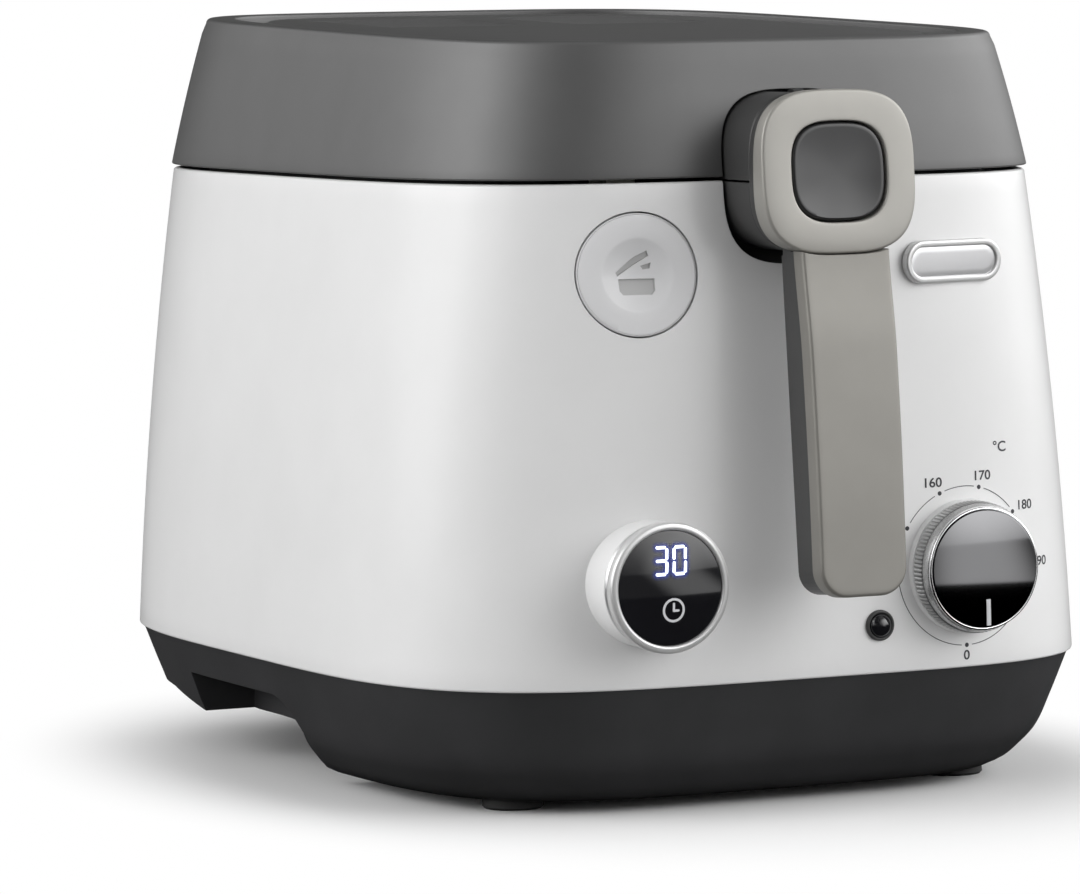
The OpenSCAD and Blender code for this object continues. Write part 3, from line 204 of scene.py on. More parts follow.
def box(name, low, high, material):
    bm = bmesh.new()
    low, high = p(*low), p(*high)
    for v in bmesh.ops.create_cube(bm, size=1)["verts"]:
        v.co = Vector(low[k] + (high[k] - low[k]) * (v.co[k] + 0.5) for k in range(3))
    return finish_mesh(name, bm, material)


def cut(obj, *tools, operation="DIFFERENCE", angle=35, keep_tone=False):
    """Cuts obj with the tools and removes them; with keep_tone the cut faces take the tool's material."""
    for tool in tools:
        change = obj.modifiers.new("cut", "BOOLEAN")
        change.operation, change.solver, change.object = operation, "EXACT", tool
        if keep_tone:
            change.material_mode = "TRANSFER"
        settled = bpy.data.meshes.new_from_object(
            obj.evaluated_get(bpy.context.evaluated_depsgraph_get()))
        obj.modifiers.clear()
        old, obj.data = obj.data, settled
        settled.name = obj.name
        bpy.data.meshes.remove(old)
        bpy.data.objects.remove(tool)
    obj.data.shade_smooth()
    obj.data.set_sharp_from_angle(angle=radians(angle))


def seat(obj, body, replaces=()):
    """Rides on a body and stands for CAD nodes, which it hides."""
    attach(obj, body)
    if replaces:
        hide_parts(*replaces)


# ---------- materials ----------
def feed(tree, socket, value):
    """Links an output into a socket, or sets the socket to a value."""
    if isinstance(value, bpy.types.NodeSocket):
        tree.links.new(value, socket)
    else:
        socket.default_value = value


def add_node(tree, kind, *feeds, sockets=None, **settings):
    """A new shader node; feeds go into its first inputs in order, sockets into inputs by name."""
    made = tree.nodes.new("ShaderNode" + kind)
    for name, value in settings.items():
        setattr(made, name, value)
    for key, value in [*enumerate(feeds), *(sockets or {}).items()]:
        feed(tree, made.inputs[key], value)
    return made


def new_material(name, sockets):
    """A material, its tree and its shader, with values set on the shader's own sockets."""
    material = bpy.data.materials.new(name)
    material.use_nodes = True
    shader = material.node_tree.nodes["Principled BSDF"]
    for socket, value in sockets.items():
        shader.inputs[socket].default_value = value
    return material, material.node_tree, shader


def surface(name, colour, rough, metallic=0.0, coat=0.0, coat_rough=0.08, mottle=0.05, mottle_size=40.0,
            grain=0.0, grain_size=0.5, rough_spread=0.04, edge=0.35):
    """A moulded or painted surface: its tone and gloss vary softly, its skin has a fine grain, and its
    sharp edges are rounded by edge millimetres."""
    material, tree, shader = new_material(name, {"Metallic": metallic, "Coat Weight": coat,
                                                 "Coat Roughness": coat_rough})
    place = add_node(tree, "TexCoord").outputs["Object"]
    broad = add_node(tree, "TexNoise", place, sockets={"Scale": 1 / (mottle_size * MM), "Detail": 4})
    ramp = add_node(tree, "ValToRGB", broad.outputs["Fac"])
    for element, position, share in zip(ramp.color_ramp.elements, (0.3, 0.7), (1 - mottle, 1 + mottle)):
        element.position = position
        element.color = [min(1, c * share) for c in colour] + [1]
    feed(tree, shader.inputs["Base Color"], ramp.outputs["Color"])

    fine = add_node(tree, "TexNoise", place, sockets={"Scale": 1 / (grain_size * MM), "Detail": 3})
    gloss = add_node(tree, "MapRange", fine.outputs["Fac"],
                     sockets={"To Min": rough - rough_spread, "To Max": rough + rough_spread})
    feed(tree, shader.inputs["Roughness"], gloss.outputs["Result"])

    normal = None
    if edge:
        normal = add_node(tree, "Bevel", sockets={"Radius": edge * MM}, samples=4).outputs["Normal"]
    if grain:
        bump = add_node(tree, "Bump", sockets={"Distance": grain * MM, "Strength": 1,
                                               "Height": fine.outputs["Fac"]})
        if normal:
            feed(tree, bump.inputs["Normal"], normal)
        normal = bump.outputs["Normal"]
    if normal:
        feed(tree, shader.inputs["Normal"], normal)
    return material


def paint_shade_by_radius(material, x, z, full, gone, rest):
    """Paints shade into a material by its distance from an axis along Y: full tone at one radius, rest at
    another.
    """
    tree = material.node_tree
    base = tree.nodes["Principled BSDF"].inputs["Base Color"]
    tone = base.links[0].from_socket
    flat = add_node(tree, "VectorMath", tree.nodes["Texture Coordinate"].outputs["Object"],
                    (1, 0, 1), (-x * MM, 0, -z * MM), operation="MULTIPLY_ADD")
    reach = add_node(tree, "VectorMath", flat.outputs["Vector"], operation="LENGTH")
    share = add_node(tree, "MapRange", reach.outputs["Value"], full * MM, gone * MM, 1.0, rest)
    scaled = add_node(tree, "VectorMath", tone, sockets={"Scale": share.outputs["Result"]},
                      operation="SCALE")
    feed(tree, base, scaled.outputs["Vector"])


def brushed(name, colour, rough, stretch):
    """Metal with a fine brushed line along one direction; stretch is the scale along X, Y and Z."""
    material = surface(name, colour, rough, metallic=1.0, edge=0.3, mottle=0.06)
    tree = material.node_tree
    squeeze = add_node(tree, "Mapping", tree.nodes["Texture Coordinate"].outputs["Object"],
                       sockets={"Scale": stretch})
    lines = add_node(tree, "TexNoise", squeeze.outputs["Vector"], sockets={"Scale": 900})
    gloss = tree.nodes["Map Range"]
    feed(tree, gloss.inputs["Value"], lines.outputs["Fac"])
    gloss.inputs["To Max"].default_value = rough + 0.15
    return material


def glow(name, colour, strength, halo=False):
    """Light of the display; a halo fades out where its mesh attribute falls to zero."""
    material, tree, shader = new_material(name, {
        "Base Color": (0.01, 0.01, 0.012, 1), "Roughness": 0.2, "Emission Color": (*colour, 1),
        "Emission Strength": strength})
    if halo:
        fade = add_node(tree, "Attribute", attribute_name="fade")
        soft = add_node(tree, "Math", fade.outputs["Fac"], 2.0, operation="POWER")
        feed(tree, shader.inputs["Alpha"], soft.outputs[0])
    else:
        place = add_node(tree, "TexCoord").outputs["Object"]
        noise = add_node(tree, "TexNoise", place, sockets={"Scale": 600})
        spread = add_node(tree, "MapRange", noise.outputs["Fac"],
                          sockets={"To Min": strength * 0.92, "To Max": strength * 1.08})
        feed(tree, shader.inputs["Emission Strength"], spread.outputs["Result"])
    return material


white = surface("pearl_white", (0.85, 0.85, 0.85), 0.30, coat=0.35, coat_rough=0.12, mottle=0.015,
                grain=0.002, grain_size=0.25, edge=0.6)
button_white = surface("button_white", (0.80, 0.80, 0.81), 0.34, coat=0.2, mottle=0.01,
                       grain=0.001, edge=0.35)
# Grey for the release button's sunk icon: painted shade in its recess
icon_painted_shade = surface("icon_painted_shade", (0.55, 0.55, 0.55), 0.45, mottle=0.03, grain=0.001, edge=0.2)
charcoal = surface("charcoal_moulding", (0.042, 0.042, 0.044), 0.50, mottle=0.12, grain=0.012,
                   grain_size=0.35, rough_spread=0.08, edge=0.8)
dark_satin = surface("dark_satin", (0.050, 0.050, 0.050), 0.38, mottle=0.08, grain=0.004,
                     grain_size=0.3, edge=0.5)
lid_paint = surface("lid_grey_metallic", (0.112, 0.112, 0.112), 0.42, metallic=0.25, coat=0.12,
                    coat_rough=0.25, mottle=0.04, mottle_size=25, grain=0.003, grain_size=0.2, edge=0.5)
champagne = surface("champagne_satin", (0.365, 0.355, 0.33), 0.40, metallic=0.35, mottle=0.03,
                    mottle_size=20, grain=0.002, grain_size=0.15, edge=0.3)
# The arm takes a darker copy of the champagne satin: painted shade
champagne_shaded_arm = surface("champagne_shaded_arm", (0.26, 0.251, 0.23), 0.42, metallic=0.35, mottle=0.03,
                        mottle_size=20, grain=0.002, grain_size=0.15, edge=0.3)
knob_satin = surface("knob_satin", (0.52, 0.52, 0.52), 0.28, metallic=0.9, mottle=0.05, edge=0.12)
chrome = surface("polished_chrome", (0.86, 0.86, 0.87), 0.07, metallic=1.0, mottle=0.02,
                 rough_spread=0.02, edge=0.25)
ring_satin = surface("satin_ring", (0.72, 0.72, 0.72), 0.30, metallic=0.45, mottle=0.02, edge=0.2)
black_chrome = surface("black_chrome", (0.20, 0.20, 0.205), 0.06, metallic=1.0, mottle=0.03,
                       rough_spread=0.01, edge=0.2)
piano_black = surface("piano_black", (0.010, 0.010, 0.012), 0.07, coat=0.6, coat_rough=0.03,
                      mottle=0.2, rough_spread=0.02, edge=0.2)
button_black = surface("button_black", (0.018, 0.018, 0.019), 0.34, coat=0.3, coat_rough=0.15,
                       mottle=0.1, grain=0.001, edge=0.3)
rubber = surface("rubber", (0.025, 0.025, 0.025), 0.75, mottle=0.2, grain=0.02, grain_size=0.6,
                 edge=0.4)
# Near-black for the thermal cutout and cord gland, and painted shade in the gap round the handle's pocket
# and in the timer's groove
black_and_gap_shade = surface("black_and_gap_shade", (0.006, 0.006, 0.006), 0.7, mottle=0.3, edge=0.0)
steel = brushed("brushed_steel", (0.58, 0.58, 0.60), 0.26, (0.05, 1, 1))
plated_wire = surface("plated_wire", (0.74, 0.74, 0.76), 0.16, metallic=1.0, mottle=0.05, edge=0.0)
brass = surface("brass", (0.62, 0.45, 0.18), 0.3, metallic=1.0, mottle=0.1, edge=0.2)
natural = surface("natural_nylon", (0.62, 0.60, 0.54), 0.5, mottle=0.06, grain=0.006, edge=0.3)
coating = surface("nonstick_coating", (0.022, 0.022, 0.024), 0.42, mottle=0.25, mottle_size=3,
                  grain=0.01, grain_size=0.8, edge=0.8)
foam = surface("filter_foam", (0.03, 0.03, 0.032), 0.9, mottle=0.5, mottle_size=1.5, grain=0.8,
               grain_size=1.6, edge=0.0)
ink = surface("grey_ink", (0.030, 0.030, 0.036), 0.5, mottle=0.1, edge=0.0)
silver_ink = surface("silver_ink", (0.75, 0.76, 0.78), 0.35, mottle=0.04, edge=0.0)
plaque = surface("satin_plaque", (0.66, 0.66, 0.67), 0.30, metallic=0.8, mottle=0.03, edge=0.25)
knurled = surface("knurled_satin", (0.60, 0.60, 0.60), 0.30, metallic=0.7, mottle=0.04, edge=0.0)
# Painted shade: the knurled skirt darkens where its radius shrinks, most in the knurl's valleys and at its
# front edge
paint_shade_by_radius(knurled, KNOB_X, KNOB_Z, KNOB_D / 2 - 0.3, KNOB_D / 2 - 1.3, 0.12)
display = glow("display_digits", (0.80, 0.86, 1.0), 3.2)
display_halo = glow("display_halo", (0.08, 0.13, 0.80), 0.42, halo=True)

NODE_MATERIALS = {
    charcoal: ["base_shell", "rim_collar", "hinge_bracket"],
    dark_satin: ["hub_lower", "hub_upper", "handle_frame", "timer_module"],
    rubber: ["foot_front_left", "foot_front_right", "foot_rear_left", "foot_rear_right", "lid_gasket"],
    steel: ["base_screws", "bowl_brackets", "heating_element", "heat_shield", "timer_spring",
            "button_spring", "latch_pin", "lid_screws", "hinge_pin", "hub_screws", "handle_pin",
            "handle_spring", "lift_carriage", "thermostat_body", "lid_liner"],
    black_and_gap_shade: ["thermal_cutout", "cord_gland"],
    natural: ["terminal_block", "button_guide", "latch_lever", "lid_catch"],
    brass: ["thermostat_shaft", "sensor_bulb"],
    white: ["body_shell", "timer_bezel"],
    button_white: ["release_button"],
    lid_paint: ["lid_shell", "filter_cover"],
    champagne: ["handle_ring", "handle_arm"],
    knob_satin: ["thermostat_knob", "lamp_bezel"],
    chrome: ["knob_ring", "timer_ring", "badge_plate"],
    piano_black: ["knob_cap", "pilot_lamp", "timer_face"],
    button_black: ["handle_button"],
    plated_wire: ["basket_rim", "basket_mesh"],
    coating: ["bowl"],
    foam: ["filter_pad"],
}
for material, names in NODE_MATERIALS.items():
    for node_name in names:
        for material_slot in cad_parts[node_name].material_slots:
            material_slot.material = material


# ---------- housing ----------
HINGE_X, HINGE_Y, HINGE_REACH, KNUCKLE = 62.0, 206.0, 5.5, 12.0
HINGE_HALF = KNUCKLE + 0.4 + 14.0


def pocket_tool():
    rings = [upright(y, POCKET_A, POCKET_B, POCKET_POWER, cz=POCKET_Z, count=192)
             for y in (-HEAD_FACE - 20, POCKET_BACK)]
    return loft("pocket_tool", rings, white)


def rod_tool(x, z, r, y0, y1):
    return loft("rod_tool", [circle(y, r, x, z) for y in (y0, y1)], white)


def body_level(z, inset):
    return level(z, wall_a(z) - inset, wall_b(z) - inset, cy=BODY_SHIFT * rise(z))


def make_body():
    lip, foot = 1.4, 1.0
    rings = [body_level(BASE_TOP + drop, inset) for inset, drop in fillet(foot)]
    steps = 30
    rings += [body_level(BASE_TOP + foot + (SEAM - BASE_TOP - foot - lip) * i / steps, 0)
              for i in range(1, steps)]
    rings += [body_level(SEAM - drop, inset) for inset, drop in reversed(fillet(lip))]
    rings += [body_level(SEAM, 2.2), body_level(SEAM - 0.6, SHELL), body_level(BASE_TOP, SHELL)]
    body = loft("body_skin", rings, white, closed=True)
    reliefs = [box("relief", (s * HINGE_X - HINGE_HALF - 1, HINGE_Y - 14, SEAM - HINGE_REACH - 1),
                   (s * HINGE_X + HINGE_HALF + 1, HINGE_Y + 11, SEAM + 8), white) for s in (-1, 1)]
    cut(body, pocket_tool(), rod_tool(-DIAL_X, RELEASE_Z, RELEASE_D / 2 + 0.55, -240, -150),
        rod_tool(110, 84, 8, 150, 240), *reliefs)
    seat(body, "housing", ["body_shell"])


BASE_PROFILE = [(5.0, 31.0), (8.0, 25.3), (12.0, 21.0), (21.0, 13.8), (35.0, 8.2), (54.5, 1.5)]


def base_inset(z):
    """Inset of the base from the housing's lower edge, smooth through the profile's heights."""
    knots = [BASE_PROFILE[0]] + BASE_PROFILE + [BASE_PROFILE[-1]]
    for i in range(1, len(knots) - 2):
        (z0, v0), (z1, v1), (z2, v2), (z3, v3) = knots[i - 1:i + 3]
        if z <= z2:
            t = (z - z1) / (z2 - z1)
            low = (v2 - v0) / max(z2 - z0, 1e-6) * (z2 - z1)
            high = (v3 - v1) / max(z3 - z1, 1e-6) * (z2 - z1)
            return ((2 * t ** 3 - 3 * t ** 2 + 1) * v1 + (t ** 3 - 2 * t ** 2 + t) * low
                    + (3 * t ** 2 - 2 * t ** 3) * v2 + (t ** 3 - t ** 2) * high)
    return BASE_PROFILE[-1][1]


def make_base():
    steps = 26
    heights = [FOOT_H + (BASE_TOP - FOOT_H) * i / steps for i in range(steps + 1)]
    rings = [level(z, BODY_LOW_A - base_inset(z), BODY_LOW_B - base_inset(z)) for z in heights]
    base = loft("base_skin", rings, charcoal)
    grip_top, grip_front, grip_rear, grip_x = 39.0, -44.0, 76.0, 132.0
    outline = [(grip_rear, grip_top + 0.01), (grip_rear, FOOT_H - 3), (grip_front + 24, FOOT_H - 3),
               (grip_front + 8, 9)]
    arc_y, arc_z = 26, 30
    outline += [(grip_front + arc_y - arc_y * cos(t), grip_top - arc_z + arc_z * sin(t))
                for t in [pi / 6 + pi / 3 * i / 10 for i in range(11)]]
    tools = [loft("grip", [[p(s * x, y, z) for y, z in outline] for x in (grip_x, 200)], charcoal)
             for s in (-1, 1)]
    # The raised underside behind the front block, as (y, z)
    belly = [(grip_front + 4, -FOOT_H), (grip_front + 12, FOOT_H + 3), (-4, 16.8), (12, 19.4),
             (33, 20.8), (45, 21), (70, 21), (grip_rear + 2, 21.3), (grip_rear + 38, 28.6),
             (grip_rear + 46, 29), (240, 29), (240, -FOOT_H)]
    tools.append(loft("belly", [[p(x, y, z) for y, z in belly] for x in (-210, 210)], charcoal))
    cut(base, *tools)
    seat(base, "housing", ["base_shell"])


# ---------- lid ----------
def lid_level(z, inset):
    """Ring on the lid's wall; the lid leans and its rings tilt more towards the top."""
    k = lid_share(z)
    swell = 0.6 * 4 * k * (1 - k)
    return level(z, lid_a(z) + swell - inset, lid_b(z) + swell - inset, LID_POWER,
                 BODY_SHIFT * (1 - k) + LID_TOP_SHIFT * k, LID_SLOPE * k)


def top_level(drop, inset):
    """Ring on the lid's sloping top, inset from its rim."""
    return level(LID_TOP - drop, LID_TOP_A - inset, LID_TOP_B - inset, LID_POWER,
                 LID_TOP_SHIFT, LID_SLOPE)


def make_lid():
    foot, edge = 0.8, 2.2
    rings = [lid_level(LID_LOW + drop, inset) for inset, drop in fillet(foot)]
    steps = 14
    rings += [lid_level(LID_LOW + foot + (LID_TOP - LID_LOW - foot - edge) * i / steps, 0)
              for i in range(1, steps)]
    rings += [top_level(drop, inset) for inset, drop in reversed(fillet(edge))]
    rings += [top_level(drop, RIM_W - inset) for inset, drop in fillet(0.9)]
    rings += [top_level(RECESS_H, RIM_W), top_level(RECESS_H, RIM_W + 30)]
    rings += [top_level(RECESS_H + SHELL, RIM_W + 30), top_level(RECESS_H + SHELL, SHELL + 1)]
    rings += [lid_level(LID_LOW + 20, SHELL), lid_level(LID_LOW, SHELL)]
    lid = loft("lid_skin", rings, lid_paint, closed=True)
    notches = [box("notch", (min(x0, x1), HINGE_Y - 7.5, SEAM - 10),
                   (max(x0, x1), HINGE_Y + 12, SEAM + HINGE_REACH + 1.5), white)
               for x0, x1 in [(s * HINGE_X + k * KNUCKLE, s * HINGE_X + k * (HINGE_HALF + 1))
                              for s in (-1, 1) for k in (-1, 1)]]
    cut(lid, pocket_tool(), *notches)
    seat(lid, "lid", ["lid_shell"])

    rings = [upright(y, POCKET_A + 1.6, POCKET_B + 1.6, POCKET_POWER, cz=POCKET_Z)
             for y in (-196, POCKET_BACK + 1.6)]
    lining = loft("lid_pocket_lining", rings, lid_paint)
    cut(lining, pocket_tool(), box("below", (-60, -260, 200), (60, -120, LID_LOW + 1), white))
    tool = loft("lid_tool", [lid_level(LID_LOW - 1, 2.0), lid_level(LID_TOP - 14, 2.0)], white)
    cut(lining, tool, operation="INTERSECT")
    seat(lining, "lid")

    for side, s in (("left", -1), ("right", 1)):
        rings = [[p(s * HINGE_X + x, y, z) for y, z in round_spots(HINGE_Y, SEAM, r, 48)]
                 for x, r in ((-KNUCKLE, 5.0), (-KNUCKLE + 0.5, 5.5), (KNUCKLE - 0.5, 5.5), (KNUCKLE, 5.0))]
        seat(loft(f"lid_knuckle_{side}", rings, lid_paint), "lid")


COVER_GAP = 3.0


def make_cover():
    inset = RIM_W + COVER_GAP
    rings = [top_level(RECESS_H - 0.4, inset + 6), top_level(RECESS_H - 0.4, inset)]
    for drop, step_in in ((4.2, 0.0), (2.8, 5.0), (1.4, 10.0)):
        rings += [top_level(drop + down, inset + step_in + inward)
                  for inward, down in reversed(fillet(0.6, 3))]
    rings += [top_level(1.4, inset + 40), top_level(1.4, inset + 75)]
    cover = loft("filter_cover_skin", rings, lid_paint)
    first_y, pitch, slot_x, half_run, end_r = 36, 11, 45, 32, 2
    slots = bmesh.new()
    for row in range(9):
        for s in (-1, 1):
            outline = [(s * slot_x + copysign(half_run, cos(t)) + end_r * cos(t),
                        first_y + row * pitch + end_r * sin(t)) for t in turns(20, 0.5)]
            add_loft(slots, [[p(x, yy, z) for x, yy in outline] for z in (312, 345)])
    finger_r = 21
    notch = loft("notch", [[p(x, y, z) for x, y in round_spots(0, LID_TOP_B - 10, finger_r, 64)]
                           for z in (318, 345)], white)
    cut(cover, finish_mesh("slots", slots, white), notch)
    seat(cover, "filter_cover", ["filter_cover"])


# ---------- handle and its hub ----------
HUB_FRONT = -HEAD_FACE + HEAD_T + 0.5
HUB_A, HUB_B, HUB_Z, HUB_ROUND, HUB_POWER = 33.5, 33.0, 265.4, 7.5, 3.0
PIVOT_Z = HUB_Z + HUB_B - 7.5
BAY_HALF = 11.2


def make_hub():
    """The block behind the handle's head, split at the seam; its upper front edge is well rounded."""
    count = 192
    shape = oval(HUB_A, HUB_B, HUB_POWER, count)
    rings = []
    for t in quarter(8):
        ring = []
        for x, z in shape:
            r = 1.4 + (HUB_ROUND - 1.4) * max(0.0, z / HUB_B) ** 3
            inset, back = r * (1 - sin(t)), r * (1 - cos(t))
            scale = 1 - inset / hypot(x, z)
            ring.append(p(x * scale, HUB_FRONT + back, HUB_Z + z * scale))
        rings.append(ring)
    rings.append(upright(POCKET_BACK - 1, HUB_A, HUB_B, HUB_POWER, cz=HUB_Z, count=count))
    low, high = SEAM - 0.45, SEAM + 0.45
    for node, z0, z1 in (("hub_lower", 200, low), ("hub_upper", high, 330)):
        part = loft(node + "_skin", rings, dark_satin)
        cut(part, box("bay", (-BAY_HALF, HUB_FRONT - 5, HUB_Z - HUB_B + 2.5),
                      (BAY_HALF, POCKET_BACK - 3.5, PIVOT_Z + 30), white))
        cut(part, box("half", (-60, -260, z0), (60, -100, z1), white), operation="INTERSECT")
        seat(part, "housing", [node])


def lean_back(x, y, z):
    """A point of the head: its face leans, top back and bottom forward, while its back stays upright."""
    share = min(1.0, max(0.0, (-HEAD_FACE + 8 - y) / 8))
    return p(x, y + HEAD_SLOPE * (z - HEAD_Z) * share, z)


def make_pocket_gap_shade():
    """Painted shade in the pocket's gap: a black sleeve just inside the pocket's edge in the housing, and a
    black ring between it and the hub.
    """
    def at(a, b, power, cz, behind, y=None):
        return [p(x, front_y(x, min(cz + z, SEAM)) + behind if y is None else y, cz + z)
                for x, z in oval(a, b, power, 192)]

    def edge(grow, behind, y=None):
        return at(POCKET_A + grow, POCKET_B + grow, POCKET_POWER, POCKET_Z, behind, y)

    outer, inner, front, back = 0.05, -0.3, -196.5, -195.5
    rings = [edge(outer, 0.35), edge(inner, 0.35), edge(inner, 0, front)]
    rings += [at(HUB_A - 1.5, HUB_B - 1.5, HUB_POWER, HUB_Z, 0, y) for y in (front, back)]
    rings.append(edge(outer, 0, back))
    sleeve = loft("pocket_gap_shade", rings, black_and_gap_shade, closed=True)
    cut(sleeve, box("over", (-60, -260, SEAM - 0.4), (60, -100, 400), white))
    seat(sleeve, "housing")


def make_head():
    """The ring round the button, with a skirt that laps over the dark frame behind it."""
    count = 192
    open_a, open_b = BUTTON_A + 0.75, BUTTON_B + 0.75

    def ring(a, b, power, y):
        return [lean_back(x, y, HEAD_Z + z) for x, z in oval(a, b, power, count)]

    def outer(y, inset):
        return ring(HEAD_A - inset, HEAD_B - inset, HEAD_POWER, y)

    def inner(y, grow):
        return ring(open_a + grow, open_b + grow, BUTTON_POWER, y)

    face = -HEAD_FACE
    rings = [outer(face + 9, 0)]
    rings += [outer(face + 0.42 + back, inset) for inset, back in reversed(fillet(1.3, 6))]
    rings += [outer(face + 0.22, 3.0), outer(face + 0.06, 6.0),
              inner(face, 3.6), inner(face + 0.03, 1.6)]
    rings += [inner(face + 0.06 + back, inset) for inset, back in fillet(0.6, 4)]
    rings += [inner(face + 8.2, 0), outer(face + 8.2, 1.05), outer(face + 9, 1.05)]
    seat(loft("handle_ring_skin", rings, champagne, closed=True), "handle", ["handle_ring"])


def make_button():
    count = 128
    bowl_r = 120.0

    def ring(share, y):
        return [lean_back(x, y, HEAD_Z + z)
                for x, z in oval(BUTTON_A * share, BUTTON_B * share, BUTTON_POWER, count)]

    def dish(share):
        return -HEAD_FACE + 2.3 - (bowl_r - sqrt(bowl_r ** 2 - (BUTTON_A * share) ** 2)) * 0.9

    shares = [0.02, 0.15, 0.3, 0.45, 0.6, 0.72, 0.82, 0.9, 0.945]
    rings = [ring(k, dish(k)) for k in shares]
    edge_y = dish(0.945)
    rings += [ring(0.975, edge_y + 0.25), ring(0.993, edge_y + 0.75), ring(1, edge_y + 1.5),
              ring(1, -HEAD_FACE + 7)]
    seat(loft("handle_button_skin", rings, button_black), "handle_button",
         ["handle_button"])


ARM_LEAN = atan((ARM_REACH - HEAD_FACE - 6.5) / (HEAD_Z - HEAD_B - ARM_LOW_Z))
ARM_LEN = (HEAD_Z - HEAD_B - ARM_LOW_Z) / cos(ARM_LEAN) + 20
ARM_CORNER = 12.0
ARM_STEPS = 40


def arm_point(x, depth, h):
    """A point of the leaning arm; it bows forward a little, and its top swings back to the head."""
    c, s = cos(ARM_LEAN), sin(ARM_LEAN)
    z = ARM_LOW_Z + h * c - depth * s
    t = min(1.0, max(0.0, (z - ARM_LOW_Z) / (HEAD_Z - HEAD_B - ARM_LOW_Z)))
    swing, swing_from, swing_run = 1.6, 0.72, 0.28
    end = max(0.0, (t - swing_from) / swing_run)
    y = -ARM_REACH + depth * c + h * s - swing * sin(pi * t) + swing * end * end * (3 - 2 * end)
    return p(x, y, z)


def make_arm():
    def outline(inset):
        r = ARM_CORNER - inset
        low_half = ARM_LOW_W / 2
        points = []
        for sx, start in ((-1, 180), (1, 270)):
            cx = sx * (low_half - ARM_CORNER)
            points += [(cx + r * cos(radians(a)), ARM_CORNER + r * sin(radians(a)))
                       for a in range(start, start + 91, 6)]
        right = [(low_half - inset + (ARM_TOP_W - ARM_LOW_W) / 2 * k / ARM_STEPS,
                  ARM_CORNER + (ARM_LEN - ARM_CORNER) * k / ARM_STEPS) for k in range(1, ARM_STEPS + 1)]
        return points + right + [(-x, h) for x, h in reversed(right)]

    rings = [[arm_point(x, depth, h) for x, h in outline(inset)]
             for inset, depth in [(3.2, 0.0)] + fillet(1.4, 6) + [(0, 4), (0, 8), (1.4, 8)]]
    bm = bmesh.new()
    add_loft(bm, rings, caps=(False, True))
    # The face is laid in strips from side to side, so that it stays smooth where it bows
    total, arc = len(rings[0]), (len(rings[0]) - 2 * ARM_STEPS) // 2
    right = list(range(arc, 2 * arc + ARM_STEPS))
    left = list(range(arc - 1, -1, -1)) + list(range(total - 1, total - 1 - ARM_STEPS, -1))
    bm.verts.ensure_lookup_table()
    for (r0, l0), (r1, l1) in zip(zip(right, left), zip(right[1:], left[1:])):
        bm.faces.new([bm.verts[i] for i in (l0, r0, r1, l1)])
    bmesh.ops.recalc_face_normals(bm, faces=bm.faces)
    arm = finish_mesh("handle_arm_skin", bm, champagne_shaded_arm)
    head_gap = 0.35
    head = loft("head_tool", [upright(y, HEAD_A + head_gap, HEAD_B + head_gap, HEAD_POWER, cz=HEAD_Z)
                              for y in (-300, -100)], white)
    cut(arm, head, box("over", (-60, -300, HEAD_Z - 10), (60, -100, 400), white))
    seat(arm, "handle", ["handle_arm"])


# ---------- controls ----------
def turned(name, profile, cx, cz, material, count=160, angle=35, caps=(True, True)):
    """A body turned about a front-to-back axis; profile is a list of (y, radius)."""
    return loft(name, [circle(y, r, cx, cz, count) for y, r in profile], material, caps=caps, angle=angle)


WALL_AT_DIAL = front_y(DIAL_X, DIAL_Z)
WALL_AT_KNOB = front_y(KNOB_X, KNOB_Z)


